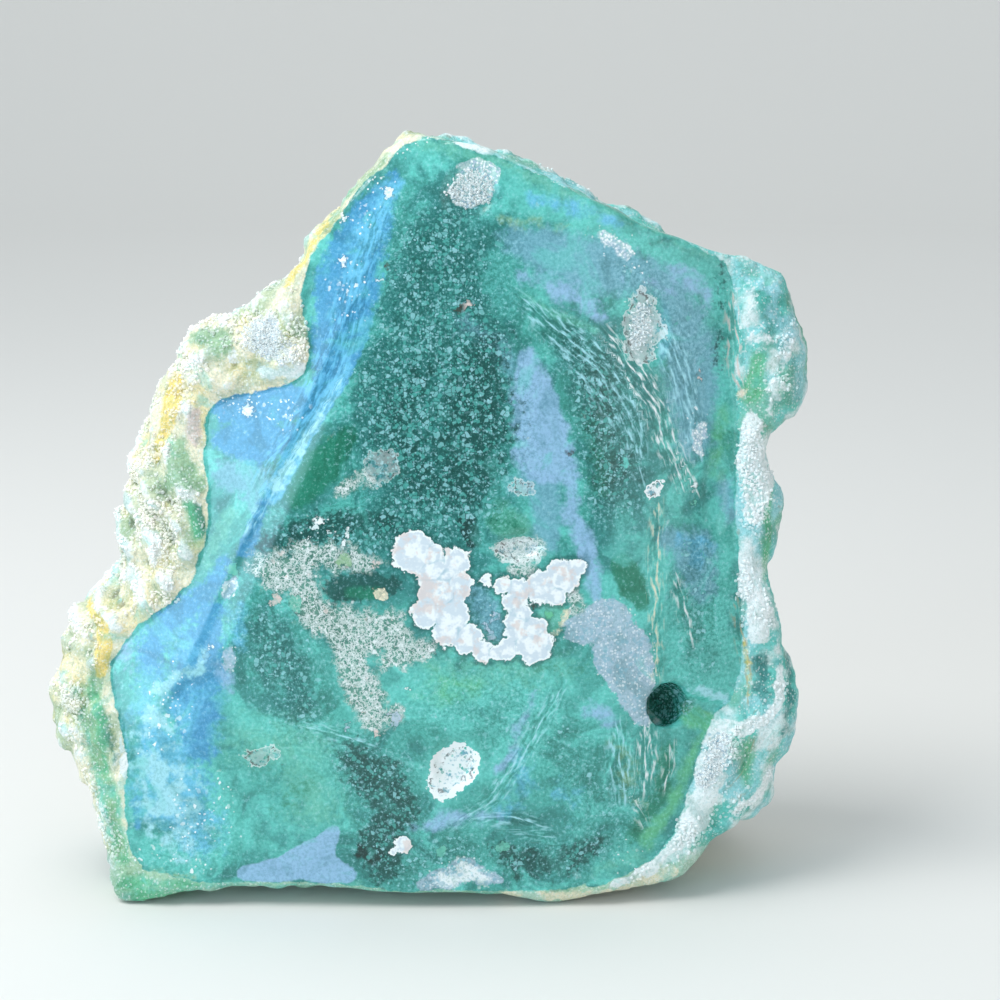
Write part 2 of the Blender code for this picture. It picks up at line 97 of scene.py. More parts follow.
# --- What colours the stone -------------------------------------------------------------------
# Each entry lays one colour: its name, how much of it shows, how far its edge frays in
# millimetres, and the line that it follows as x, z and half width.
FACE_COLOURS = [
    # the grainy field down the middle, with the darker ground in it
    ("teal", 0.9, 3.5, [(2.5, 73, 5), (1.5, 66, 7.4), (0.5, 58, 8.4), (0.4, 50, 9), (1, 44, 7.4)]),
    ("teal", 0.9, 3.0, [(17, 62, 3), (20, 54, 4.4), (21, 46, 4.4), (19, 40, 3)]),
    ("teal", 0.8, 3.0, [(-14, 39, 3), (-6, 37, 4), (4, 40, 4), (5, 34, 3)]),
    ("deep", 0.9, 3.0, [(6, 60, 2), (5, 53, 3.8), (4, 47, 3.4)]),
    ("deep", 0.7, 3.0, [(-1, 57, 2), (-3, 51, 2.6), (0, 46, 3)]),
    ("deep", 0.7, 2.0, [(17.6, 53, 1.4), (19, 47, 1.8)]),
    ("aqua", 0.5, 2.5, [(-2, 69, 2.5), (2, 65, 2)]),
    # the top and its edge
    ("seafoam", 0.8, 1.2, [(-1, 80.5, 0.8), (1, 80.5, 1), (8, 78.6, 1.2), (14, 76.2, 1),
                           (20, 73.8, 0.8),
                           (27, 70.8, 0.7), (33, 68.3, 0.8)]),
    ("aqua", 0.9, 0.5, [(9, 77.6, 0.9), (10.6, 76.4, 0.6)]),
    ("aqua", 0.8, 1.8, [(-2, 79.4, 1), (6, 77, 1.6), (16, 73, 1.8), (26, 68.4, 1.8),
                        (31, 64, 1.4)]),
    ("sky", 0.8, 1.0, [(11, 75, 0.7), (15, 74, 0.7), (20, 72.4, 0.5)]),
    ("sage", 0.45, 1.0, [(8, 72.8, 0.8), (14, 72.4, 0.6)]),
    ("seafoam", 0.6, 1.0, [(-4.6, 78.4, 0.5), (-3.8, 77.2, 0.4)]),
    # the upper right
    ("slate", 1.0, 1.4, [(9, 71, 1.4), (13, 69.6, 2.4), (18, 68, 2.8), (22.4, 67, 2),
                         (26, 66.4, 1.6)]),
    ("slate", 1.0, 1.4, [(25.8, 64, 2), (27.2, 60, 2.9), (27.8, 55, 2.7), (27.8, 50, 1.8)]),
    ("slate", 0.8, 1.2, [(4, 62.4, 1), (7.4, 60, 1.4), (10, 56.6, 1)]),
    ("lilac", 0.6, 1.2, [(20, 66.8, 0.5), (23.6, 66.4, 0.7), (27, 64.4, 0.5)]),
    ("teal", 0.8, 1.5, [(15, 60, 2), (19.5, 55, 2), (22, 50, 2.4), (22, 46, 2)]),
    ("lilac", 0.85, 1.6, [(10, 67, 0.5), (12.5, 66.2, 1), (15.5, 64.8, 1.1), (18, 63, 0.8)]),
    ("seafoam", 0.8, 0.5, [(10, 65.4, 0.3), (13, 63.4, 0.4), (17.5, 61.6, 0.4)]),
    ("lilac", 0.85, 1.6, [(25.5, 67.4, 0.5), (27.5, 66.4, 0.8), (29.2, 65.2, 0.9),
                          (29.5, 63.6, 0.5)]),
    ("deep", 0.6, 1.4, [(31, 68, 0.7), (30.6, 63, 0.6), (30.5, 57, 0.5)]),
    # the lilac strip, the grey under its arch and the green lobe
    ("lilac", 0.95, 1.0, [(10.4, 58.6, 1), (11.2, 55.4, 2.4), (11.8, 51.5, 3.1),
                          (11.9, 49.2, 3.1)]),
    ("lilac", 0.95, 1.0, [(14.6, 48, 0.9), (15.1, 43, 0.9), (16.2, 40, 1.1), (17.2, 36, 0.7),
                          (17.6, 33.4, 0.4)]),
    ("slate", 0.9, 0.8, [(8.6, 46.2, 1), (12, 45.6, 1.7), (12.6, 42, 1.5), (12.4, 40, 1.2)]),
    ("emerald", 0.5, 0.8, [(7.4, 42.8, 2), (9.2, 41.6, 1.8)]),
    ("seafoam", 0.85, 0.8, [(7.6, 42.6, 1.7), (9.4, 41.8, 1.5)]),
    ("pool", 0.9, 0.6, [(4.2, 42.2, 1), (4.8, 40.4, 0.9)]),
    ("slate", 0.8, 0.8, [(4.9, 34.6, 1.2), (6.4, 32.4, 1.5), (7.4, 30.8, 0.9)]),
    ("seafoam", 0.95, 0.5, [(13, 32.6, 1.5), (12.8, 30.6, 0.9)]),
    ("cream", 0.75, 0.6, [(14.6, 32.8, 0.4), (14, 30.8, 0.4), (12.8, 29.4, 0.5)]),
    # the middle and the right
    ("emerald", 0.5, 1.5, [(17.6, 53, 2), (18, 46, 2)]),
    ("aqua", 0.8, 0.8, [(20.6, 40.8, 1.2), (23.4, 42.6, 1.4)]),
    ("emerald", 0.95, 0.5, [(20.4, 37.6, 1.4), (21.4, 35.6, 1.6), (22.6, 33.4, 0.9)]),
    ("slate", 0.9, 1.0, [(25.4, 40, 1.1), (28, 38.4, 2.4), (29, 34.6, 1.6)]),
    ("sky", 0.6, 1.2, [(26, 40.6, 0.9), (28.6, 38, 1.6)]),
    ("aqua", 0.8, 1.0, [(25.6, 28, 1), (28, 24, 1), (31, 22, 1.6)]),
    ("apple", 0.65, 1.6, [(31.2, 52.4, 1.3), (30.8, 49, 1.4), (30.6, 46, 0.8)]),
    ("slate", 0.8, 0.8, [(31, 45.4, 1), (32, 42, 0.9)]),
    ("pearl", 1.0, 0.6, [(16, 31, 1.7), (19, 31.6, 2.4), (20.6, 28, 2.9), (21.8, 24.5, 2.1),
                         (22.4, 21.4, 1.1)]),
    ("lilac", 0.8, 1.4, [(17, 22.2, 0.9), (18.8, 21.6, 1.2)]),
    ("apple", 0.95, 0.6, [(27.4, 20.8, 0.9), (29.6, 19.8, 0.9), (31.8, 19.4, 0.4)]),
    ("ice", 0.75, 0.8, [(28.2, 24, 0.5), (30.8, 22.6, 0.8), (33, 21.4, 0.6)]),
    ("deep", 0.9, 0.5, [(20.6, 37.4, 1), (21.6, 35.6, 1.2)]),
    ("aqua", 1.0, 2.0, [(30.4, 47, 0.8), (30.6, 40, 1.4), (30.6, 33, 2.4), (30, 26, 2.4)]),
    ("lilac", 0.75, 1.2, [(11.8, 25.4, 0.4), (9.6, 20.6, 0.7), (7.6, 16, 0.8)]),
    ("lilac", 0.75, 1.2, [(-1.4, 9.4, 0.6), (2.6, 10.6, 1), (7.4, 11, 0.8)]),
    # the facet on the left, whose azure, sky blue and ice are partly painted reflection of a blue
    # sky over the stone's own colour
    ("sky", 0.8, 1.4, [(-3.4, 76, 1), (-6.4, 71, 1.6), (-7.6, 66, 1.2)]),
    ("aqua", 0.7, 1.2, [(-4.6, 73.6, 0.8), (-8.6, 69.6, 0.9)]),
    ("azure", 1.0, 1.0, [(-3.2, 77, 0.5), (-6, 72.6, 2.2), (-8.2, 67, 3.3), (-8.7, 62, 3.1),
                         (-9.4, 57, 2.3)]),
    ("azure", 1.0, 0.8, [(-21, 53.4, 1.5), (-18.4, 53.6, 2.3), (-15.4, 54, 2), (-11.6, 54.6, 1.6)]),
    ("azure", 1.0, 1.0, [(-20.8, 50.2, 1.7), (-18, 50, 2.4), (-14.6, 50.6, 1.5)]),
    ("aqua", 0.8, 0.6, [(-23.2, 56, 0.6), (-21.8, 56.8, 0.4)]),
    ("slate", 0.9, 1.0, [(-20.8, 46.6, 1.6), (-18, 46, 1.8), (-17.6, 43.8, 1.2)]),
    ("azure", 0.9, 1.5, [(-6, 67, 1.6), (-7.6, 61, 1.6), (-10, 55.6, 1.6), (-13, 51, 1.4)]),
    ("sky", 1.0, 0.7, [(-8.2, 58, 0.5), (-10.6, 54, 0.9), (-13.4, 49.4, 1.1), (-16, 44.6, 0.8)]),
    ("ice", 0.8, 0.8, [(-11, 53, 0.4), (-13.4, 49, 0.6), (-16, 45, 0.5)]),
    ("azure", 1.0, 0.5, [(-16, 45, 0.4), (-17.6, 42.4, 0.6), (-19, 39, 0.9)]),
    ("emerald", 0.95, 1.0, [(-8.2, 51, 1.1), (-10.8, 47.8, 2.1), (-13.4, 44.6, 1.4)]),
    ("seafoam", 0.5, 1.5, [(-9.4, 51, 0.8), (-11.4, 47.6, 1.2), (-12.8, 45.4, 0.8)]),
    ("seafoam", 0.8, 1.0, [(-20.6, 42.4, 1), (-21.8, 40.4, 1), (-23.4, 37.4, 0.7)]),
    # the mossy ground left of the middle
    ("deep", 0.9, 1.5, [(-16.6, 39.6, 1.2), (-11.6, 41, 1.8), (-7.8, 42, 1.6), (-4, 42, 1)]),
    ("deep", 0.8, 1.2, [(-12.6, 33.4, 1.6), (-9, 31, 1.6)]),
    ("deep", 1.0, 0.8, [(-9.6, 35, 1.3), (-6.6, 35.6, 1.9), (-4, 35.6, 1)]),
    ("emerald", 0.8, 0.5, [(-8, 34.6, 0.8), (-5.8, 34.8, 1)]),
    ("teal", 0.8, 1.5, [(-17, 31, 2.4), (-15.6, 27, 3), (-14, 23, 2)]),
    # the blue at the lower left, partly painted reflection of a blue sky over the stone's own blue
    ("azure", 1.0, 1.0, [(-21, 37.4, 0.8), (-24, 33.6, 1.2), (-27.5, 31, 1.3), (-29.6, 28, 1.2)]),
    ("sky", 0.5, 2.4, [(-27, 32, 1.6), (-26, 28, 3.6), (-26, 21, 3.6), (-26.4, 14, 3)]),
    ("azure", 1.0, 1.6, [(-22.6, 32.4, 1.4), (-24.2, 27, 2.9), (-24.4, 22.4, 2.9),
                         (-24.2, 18, 1.8)]),
    ("azure", 0.9, 1.6, [(-27.4, 31.4, 1.4), (-29.4, 27.6, 1.8), (-30, 24, 0.9)]),
    ("sky", 0.7, 1.2, [(-19.6, 32.6, 1.2), (-19.8, 29, 1)]),
    ("lilac", 0.6, 1.0, [(-31, 31.4, 1), (-32.6, 28.6, 1), (-32.4, 26, 0.8)]),
    ("lilac", 0.8, 1.2, [(-22, 26.6, 0.5), (-21, 26, 0.7), (-20.8, 23.6, 0.5)]),
    ("pearl", 1.0, 0.5, [(-21, 28.2, 0.6), (-20.8, 27, 0.8)]),
    ("pearl", 1.0, 0.5, [(-21.2, 34.4, 0.5), (-20.6, 35.2, 0.8), (-20, 36, 0.4)]),
    ("white", 1.0, 0.3, [(-21.4, 34.6, 0.15), (-20.8, 36, 0.15), (-19.8, 35.6, 0.2),
                         (-20.2, 34.4, 0.15)]),
    ("aqua", 0.9, 2.0, [(-29.6, 24.4, 1.8), (-28.6, 20, 2.4), (-25, 15, 3), (-22, 10, 3)]),
    ("sky", 0.8, 2.5, [(-30, 22, 1.8), (-28.6, 18, 3), (-27, 13, 4.2), (-25, 9, 3)]),
    ("ice", 0.72, 3.0, [(-29.4, 22, 1.4), (-29, 17, 2.8), (-27.6, 12, 3.4), (-26, 8.6, 2.2)]),
    ("ice", 0.8, 0.8, [(-29, 23.6, 0.5), (-26.4, 25.6, 0.4), (-24, 26.2, 0.6), (-23.4, 28.4, 0.3)]),
    ("azure", 0.6, 1.5, [(-25.4, 17, 1), (-23, 13.6, 1), (-26.4, 11, 0.8)]),
    ("aqua", 0.9, 2.0, [(-20, 8, 2), (-26, 6, 2.4), (-30, 7, 1.4)]),
    ("seafoam", 0.8, 3.5, [(-19, 19, 2), (-13, 18, 3), (-12, 12, 3)]),
    ("aqua", 0.8, 3.5, [(-2, 25, 3), (6, 24, 4), (12, 24, 3), (9, 16, 4)]),
    ("seafoam", 0.7, 3.0, [(0, 27, 1.6), (8, 26.6, 2), (14, 27, 1.6)]),
    ("aqua", 0.7, 3.0, [(26, 30, 2), (27.6, 22, 2), (26.4, 17, 1.6)]),
    ("azure", 0.9, 0.5, [(-31.2, 12, 0.6), (-30.8, 9.6, 0.4)]),
    ("aqua", 0.7, 1.5, [(-19.4, 22.6, 1.4), (-18, 19.6, 1.6), (-13, 20.4, 1.6), (-9, 19.6, 0.8)]),
    ("aqua", 0.6, 2.5, [(-19.6, 14, 1.6), (-14, 12.4, 2.4), (-16.6, 8.6, 1.6)]),
    ("emerald", 0.45, 1.5, [(-12.4, 15, 2), (-16, 11, 1.6)]),
    # the foot
    ("apple", 0.55, 1.5, [(0.8, 26, 1.2), (4.4, 24.6, 1.8), (-1, 23.4, 1)]),
    ("aqua", 0.9, 0.8, [(13.2, 26.6, 1.4), (15, 24.6, 0.9)]),
    ("emerald", 0.5, 1.2, [(11, 27, 0.8), (16.6, 26.6, 0.9)]),
    ("aqua", 0.6, 2.0, [(0, 21, 2), (7, 21, 2.4), (6.6, 16, 1.2), (-1.4, 15, 0.8)]),
    ("sky", 0.6, 1.5, [(9.6, 18, 0.9), (10.6, 14.4, 1.1), (8, 11, 1)]),
    ("sky", 0.5, 1.5, [(13, 14, 1.4), (16, 12, 1.2)]),
    ("deep", 0.85, 1.5, [(-8, 17, 2), (-5, 15, 2.6), (-3.6, 11, 2.2), (-5.4, 7.6, 2.2),
                         (-4.6, 4.6, 1.6)]),
    ("pool", 0.9, 0.8, [(-7, 7, 0.8), (-5.6, 6.4, 1)]),
    ("deep", 0.8, 1.2, [(7, 7.6, 0.8), (9.6, 5.6, 1.6), (14, 5.6, 1.8), (18, 7.6, 1)]),
    ("lilac", 1.0, 0.3, [(-19.6, 4.3, 0.8), (-15.4, 4.7, 1.3), (-11.8, 6.2, 2), (-9.9, 9.2, 0.6)]),
    ("lilac", 1.0, 0.3, [(-11.6, 5.4, 2.2), (-8.8, 4.4, 1)]),
    ("seafoam", 0.8, 0.6, [(-22, 3, 0.5), (-14, 2.6, 0.4), (-7.6, 3.2, 0.4)]),
    ("sage", 0.45, 1.2, [(20, 18.6, 1.2), (21.4, 15, 1.8), (22, 11.6, 1)]),
    ("emerald", 0.7, 1.0, [(25.4, 17.6, 1), (24.6, 12, 1.4), (21.6, 8, 1.2)]),
    ("apple", 0.8, 0.8, [(29, 18.4, 0.5), (27, 14.6, 0.8), (25.8, 11, 0.8), (23.4, 7.4, 1)]),
    ("seafoam", 0.7, 1.2, [(22, 5.8, 1), (18, 4.4, 0.7)]),
    ("pearl", 1.0, 0.5, [(-0.6, 3, 0.7), (2, 4, 1.2), (3.8, 5.2, 1.1), (5.8, 3.9, 1),
                         (7.8, 3.6, 0.4)]),
    ("white", 0.75, 0.8, [(2, 3.6, 1), (3.8, 5, 1), (5.8, 3.7, 0.9)]),
    ("sage", 0.8, 1.0, [(-31.6, 4, 0.8), (-26, 3.4, 0.6)]),
]
RIND_COLOURS = [
    # the left side, from the top down
    # the straw and sage along the top-left edge are partly painted light: thin rims that glow
    # yellow-green where light shines through them
    ("straw", 0.9, 0.6, [(-10.6, 72.4, 0.3), (-12.6, 69.4, 0.5), (-14.4, 66.4, 0.5)]),
    ("sage", 0.8, 0.8, [(-4, 79, 0.5), (-9, 74.4, 0.5), (-12, 70.6, 0.4)]),
    ("white", 0.9, 1.2, [(-16.6, 61.4, 1.6), (-16.2, 59.6, 1.2)]),
    ("sage", 0.9, 1.0, [(-24, 60.6, 1), (-21.6, 60, 1.5)]),
    ("white", 0.8, 1.0, [(-20.4, 58.4, 0.6), (-18, 57.6, 0.4), (-14.4, 57.2, 0.8),
                         (-12.6, 57.2, 1.2)]),
    ("straw", 1.0, 0.5, [(-26.2, 56.6, 0.5), (-27, 53.6, 1), (-28.2, 50, 0.6), (-29, 47.4, 0.4)]),
    ("blush", 0.9, 0.8, [(-24.4, 53, 0.8), (-24.4, 50, 0.8)]),
    ("sage", 0.9, 1.0, [(-26.4, 49, 1.1), (-26, 46.6, 1.7), (-24, 45.4, 1)]),
    ("teal", 0.5, 1.0, [(-26.2, 48, 0.8), (-24.4, 46, 0.8)]),
    ("blush", 0.5, 1.5, [(-28.6, 43.6, 1), (-29, 39.6, 1)]),
    ("emerald", 0.9, 0.5, [(-24.4, 42.6, 0.8), (-23.8, 40.8, 0.9)]),
    ("apple", 0.7, 0.8, [(-25, 43, 0.9), (-24.4, 40, 0.8)]),
    ("straw", 1.0, 0.4, [(-36.6, 31.8, 0.4), (-35, 30.4, 0.7), (-34.4, 28, 0.9),
                         (-34.8, 25.4, 0.6)]),
    ("sage", 0.9, 1.0, [(-37, 23, 0.9), (-35.6, 17.6, 0.8), (-34.2, 12, 0.7), (-32.8, 6.6, 0.8)]),
    ("straw", 0.5, 0.8, [(-37.4, 25, 0.5), (-36.4, 20, 0.4)]),
    ("emerald", 0.8, 0.9, [(-34.9, 21.6, 0.6), (-34.2, 18.6, 0.9), (-33.5, 16.8, 0.4)]),
    ("apple", 0.9, 1.0, [(-35.8, 24.4, 0.7), (-35, 17.4, 1), (-34, 12, 1), (-32.8, 6, 0.9)]),
    ("white", 1.0, 0.5, [(-32.6, 18.4, 0.4), (-32.2, 15.6, 0.6), (-31.4, 13.6, 0.4)]),
    ("apple", 0.8, 1.0, [(-32.6, 3, 1.1), (-29, 2.8, 0.8), (-25, 3, 0.5)]),
    # the right side, from the top down
    ("turquoise", 0.8, 1.0, [(36.4, 63, 0.6), (36.2, 60.4, 0.6)]),
    ("ice", 0.9, 1.2, [(33.6, 66.4, 0.7), (36, 65, 0.7), (37.6, 61, 0.6)]),
    ("white", 0.7, 1.6, [(33.4, 62.4, 0.5), (34.6, 60.8, 0.7), (36, 60.4, 0.7)]),
    ("white", 0.75, 1.6, [(37.4, 58, 0.9), (37, 54.4, 1), (35.6, 52.6, 0.5)]),
    ("emerald", 0.5, 0.8, [(34.6, 58, 0.7), (34, 55.4, 0.8)]),
    ("apple", 0.9, 0.6, [(34.8, 58, 1.1), (34, 54.6, 1.2)]),
    ("cream", 0.9, 0.5, [(33.2, 55, 0.4), (32, 52.6, 0.4)]),
    ("white", 1.0, 0.6, [(34, 51.4, 1.1), (33.9, 48, 1.7), (34.9, 45, 1.7), (34.4, 42, 1.2)]),
    ("apple", 0.8, 0.6, [(36.2, 45, 0.5), (35.8, 38, 0.6), (36, 35, 0.5)]),
    ("white", 1.0, 0.6, [(33.2, 37.4, 0.8), (33.4, 34, 0.9)]),
    ("white", 1.0, 0.6, [(35.2, 32.6, 1.5), (35.4, 29, 1)]),
    ("teal", 0.8, 0.8, [(35.6, 26.4, 0.9), (36, 23, 0.9)]),
    ("straw", 0.75, 0.5, [(33.6, 29, 0.3), (34.2, 25.6, 0.4), (34.2, 21.6, 0.2)]),
    ("teal", 0.7, 0.6, [(38.6, 26, 0.5), (39, 22, 0.5), (38, 18, 0.6)]),
    ("white", 1.0, 0.5, [(37.4, 25, 0.5), (37.8, 22, 0.5), (36, 20, 0.7), (33.4, 19, 0.8),
                         (31, 19.4, 0.7)]),
    ("pearl", 0.7, 1.2, [(31, 17.6, 1.2), (30, 14.6, 1.2)]),
    ("white", 0.9, 1.0, [(30.4, 16, 1.6), (29.6, 11.6, 1.8), (27.4, 7.6, 1.3), (24, 5, 1),
                         (20, 3, 0.6)]),
    ("apple", 0.8, 0.8, [(34.4, 16.6, 0.8), (34, 13.6, 0.9)]),
    ("white", 0.9, 0.6, [(36.6, 13.6, 0.5), (35.4, 11.4, 0.6), (33, 10, 0.6)]),
    ("cream", 0.9, 0.8, [(8, 1.9, 0.6), (20, 1.5, 0.8), (26, 4, 0.8)]),
    ("seafoam", 0.9, 1.0, [(-36.6, 20, 0.9), (-35, 14, 1), (-33.6, 7, 1)]),
    # the foot
    ("seafoam", 0.55, 0.8, [(-31, 2, 2.2), (-12, 2, 2.2), (7, 1.6, 2)]),
    ("emerald", 0.45, 0.8, [(-20, 1.2, 0.8), (-10, 1, 1), (5, 1, 1)]),
    ("apple", 0.8, 0.8, [(-31, 1.6, 1), (-26, 1.4, 0.8)]),
]

# How the colours lie over each other, from the lowest: how much noise frays each one's edge, and
# how soft the edge stays.
LAYERS = [
    ("turquoise", 1.4, 0.30), ("aqua", 1.6, 0.32), ("teal", 1.6, 0.25), ("slate", 1.2, 0.30),
    ("seafoam", 1.2, 0.32), ("azure", 1.4, 0.25), ("sky", 1.5, 0.25), ("ice", 2.0, 0.20),
    ("lilac", 1.2, 0.20), ("deep", 1.8, 0.20), ("emerald", 0.9, 0.22), ("pool", 1.0, 0.15),
    ("apple", 1.0, 0.30), ("sage", 1.4, 0.22), ("blush", 1.4, 0.20), ("cream", 1.4, 0.15),
    ("straw", 0.8, 0.18), ("pearl", 1.3, 0.12), ("white", 1.6, 0.12),
]

# White chalcedony that grew as clustered balls: the middle and radius of each.
WHITE_BALLS = [
    # the large cluster and its tail
    (-1.4, 39, 2.3), (0.9, 37, 1.8), (3.1, 38.1, 1.5), (1.2, 35, 2.3), (3.2, 35.4, 1.7),
    (0.2, 32.8, 1.8), (2.4, 32.4, 2.1), (2.2, 30.8, 1.7), (4.2, 30, 1.7), (5.8, 28.7, 1.2),
    # the one to its right
    (6.2, 36.2, 0.6), (8, 35.5, 1), (9.7, 35, 1.4), (11.7, 35.4, 1.8), (14, 36.4, 1.8),
    (13.4, 34.6, 1.2), (9.7, 32.4, 1.2), (9.4, 30.8, 1.2), (10.9, 29.2, 1.9), (8.5, 28.9, 1.2),
    (7, 28.6, 0.9), (15.6, 37.6, 1), (8.8, 34, 1.1), (9.4, 31.8, 1.3), (0.4, 38.6, 1.5),
    (1.6, 36.4, 1.5), (11.2, 31, 1.3), (12, 29.8, 1.2),
    # small ones
    (-2.6, 7.7, 0.9), (-3.6, 7, 0.5),
]
# Single ragged grains: middle, radius, colour.
KNOBS = [
    (-15.7, 34, 0.6, "blush"), (-13.7, 33.6, 0.8, "seafoam"), (-8.6, 38.2, 0.8, "sage"),
    (-4.7, 34.7, 0.8, "cream"), (-5.3, 37.7, 0.5, "blush"), (-11.2, 42.3, 0.35, "white"),
    (-9.8, 41.3, 0.25, "white"), (-8.2, 41.1, 0.3, "white"), (-8.6, 39.9, 0.25, "white"),
    (-20.3, 36.9, 0.7, "seafoam"), (-23.3, 27.9, 0.4, "slate"), (-22.8, 28.9, 0.25, "white"),
    (12.8, 32.6, 0.5, "apple"), (10.9, 33.5, 0.55, "umber"),
    (10.3, 33.6, 0.35, "umber"), (-4.3, 68.4, 0.4, "umber"), (-4.9, 66.8, 0.35, "white"),
    (3.6, 63.8, 0.4, "umber"), (4.4, 64.4, 0.35, "blush"), (15.4, 49.4, 0.3, "umber"),
    (14.7, 49.1, 0.2, "umber"), (20.6, 48.3, 0.45, "aqua"), (28, 45.2, 0.3, "white"),
    (28, 43.5, 0.3, "seafoam"), (2.7, 75.6, 0.5, "white"), (-4, 75.7, 0.45, "white"),
    (-8.6, 73, 0.4, "white"), (-8.8, 68.6, 0.5, "white"), (-18.7, 53.2, 0.6, "white"),
    (-3.1, 7.9, 0.3, "umber"), (28.4, 56.8, 0.4, "blush"), (-2.2, 24.4, 0.25, "white"),
    (1.4, 6.9, 0.6, "seafoam"), (8, 7.4, 0.7, "seafoam"), (7.2, 32.4, 0.35, "pearl"),
    (6.2, 31.4, 0.4, "pearl"), (6.6, 30.2, 0.5, "pearl"), (0.6, 28.8, 0.3, "white"),
    (-3.4, 21.6, 0.7, "pearl"), (-8.4, 20.6, 0.4, "pearl"), (-5.4, 20, 0.35, "blush"),
]
# Old cavities: middle, half width, half height, lean to the right, and thickness of the pale wall.
CAVITIES = [
    (2.6, 15.7, 2.5, 3.1, 0.25, 0.55), (22.3, 62, 2.2, 3.8, 0.0, 0.18),
    (9.7, 39.2, 2.7, 1.4, 0.0, 0.18),
    (23.7, 45.2, 0.8, 0.9, 0.0, 0.35), (-17.5, 17.3, 1.7, 1.1, 0.4, 0.15),
    (-4.8, 47.8, 2.1, 1.8, 0.0, 0.12),
    (9.7, 45.8, 1.2, 0.9, 0.0, 0.15),
]

# Where each kind of mark lies: how much of it there is, how far its edge frays, and lines again.
GRAINY = [
    (1.0, 3.5, [(2, 73, 2.5), (1.5, 68, 6.4), (1, 62, 7.2), (0.5, 56, 8), (0.6, 50, 8.4),
                (0.6, 45, 6.8)]),
    (1.0, 2.0, [(15.4, 60, 2), (17.6, 56, 2.6), (18.6, 51, 3), (19.4, 45, 2.8)]),
    (0.9, 2.5, [(-8, 17, 2.2), (-5, 15, 3.2), (-3.6, 11, 2.8), (-5, 7.6, 2.6), (-3, 5, 2.4),
                (3, 7, 2)]),
    (0.8, 2.0, [(8, 6, 1.4), (15, 6, 2.2), (19, 8, 2)]),
    (0.6, 1.5, [(28.4, 38, 2), (29.2, 33, 2.6), (29, 27, 2.6)]),
    (0.9, 2.5, [(-17.4, 32, 2.6), (-15, 27, 3.6), (-13.4, 22.6, 2.4)]),
    (0.5, 3.0, [(2, 23, 3), (9, 22, 4)]),
    (0.6, 3.0, [(14, 18, 3), (19, 11, 3)]), (0.4, 2.0, [(-24, 8, 3), (-28, 6, 2)]),
    (0.5, 2.5, [(21, 67, 2), (27, 60, 2.4)]),
    (0.8, 2.0, [(-14, 40, 2.4), (-5, 41, 2.4), (4, 41, 2)]),
    (0.6, 2.0, [(5.4, 33.6, 2), (7, 31.6, 1.6)]),
]
MOSSY = [
    (1.0, 1.6, [(-17, 37.6, 1.4), (-13.4, 36, 2), (-12, 32.8, 1.8), (-8.4, 30.4, 2.2),
                (-4, 30.6, 2.4)]),
    (1.0, 1.4, [(-13, 38.6, 1.4), (-9.6, 38.8, 1.4), (-6, 38, 1)]),
    (1.0, 1.2, [(-8, 28, 1.8), (-6.4, 23.4, 2), (-5.4, 21.4, 1.3), (-3.4, 21.6, 1)]),
    (0.9, 1.0, [(-4, 28, 1.6), (-1.6, 28.6, 1.4), (0.6, 29.4, 1)]),
    (0.8, 1.0, [(-9, 45.4, 0.8), (-6, 46.8, 0.8)]),
    (0.9, 0.8, [(14.9, 35.2, 1), (15.4, 33.2, 0.8)]),
    (0.9, 0.6, [(8, 39.2, 1.1), (11.4, 39.4, 1.1)]), (0.9, 0.8, [(9.4, 37, 1), (10.6, 37, 0.8)]),
]
FLECKED = [
    (0.9, 0.8, [(-2.6, 80.2, 0.8), (-0.6, 80.6, 0.6)]),
    (0.8, 1.0, [(-4.4, 76.6, 0.8), (-7.4, 72.4, 1.2)]),
    (0.7, 1.5, [(-9, 69, 1.6), (-8, 64, 1.6)]),
    (0.9, 1.0, [(-21, 54, 1.2), (-18, 54, 1.4), (-14, 53, 1.4)]),
    (0.8, 1.0, [(-11, 40.6, 2)]), (0.7, 1.5, [(-27, 24, 2.4), (-29, 19, 2)]),
    (0.6, 1.5, [(-24, 11, 4)]),
    (0.8, 1.0, [(17.4, 71.2, 0.8), (20.4, 69.8, 1), (22.6, 67.4, 0.6)]),
    (0.7, 1.0, [(33, 67, 1.4), (34, 62, 2)]),
    (0.8, 1.0, [(28, 53, 0.7), (28.6, 51.4, 0.9), (28.5, 49.2, 0.7)]), (0.6, 1.0, [(6.6, 32, 1.4)]),
    (0.6, 1.0, [(-30, 5.6, 1.4), (-24, 5, 1.2)]), (0.6, 1.0, [(21, 5.6, 2)]),
]
DRUSY = [
    (1.0, 0.8, [(3.2, 76, 1), (4.9, 77.4, 1.7), (6.4, 77.6, 0.9)]),
    (1.0, 0.6, [(4, 75.4, 1.1), (5.6, 75.8, 1)]),
    (0.8, 0.8, [(22.3, 63.6, 1.2), (22.3, 60.4, 1.2)]),
    (0.8, 0.6, [(28.6, 51.4, 0.8), (28.5, 49.2, 0.6)]),
    (0.8, 0.6, [(18.4, 70.8, 0.6), (20.4, 69.8, 0.8)]),
    (0.9, 0.8, [(-17, 61, 2), (-14.6, 59.4, 1.4)]),
    (0.8, 0.6, [(31, 17.4, 1.4), (30, 14, 1.4)]),
]
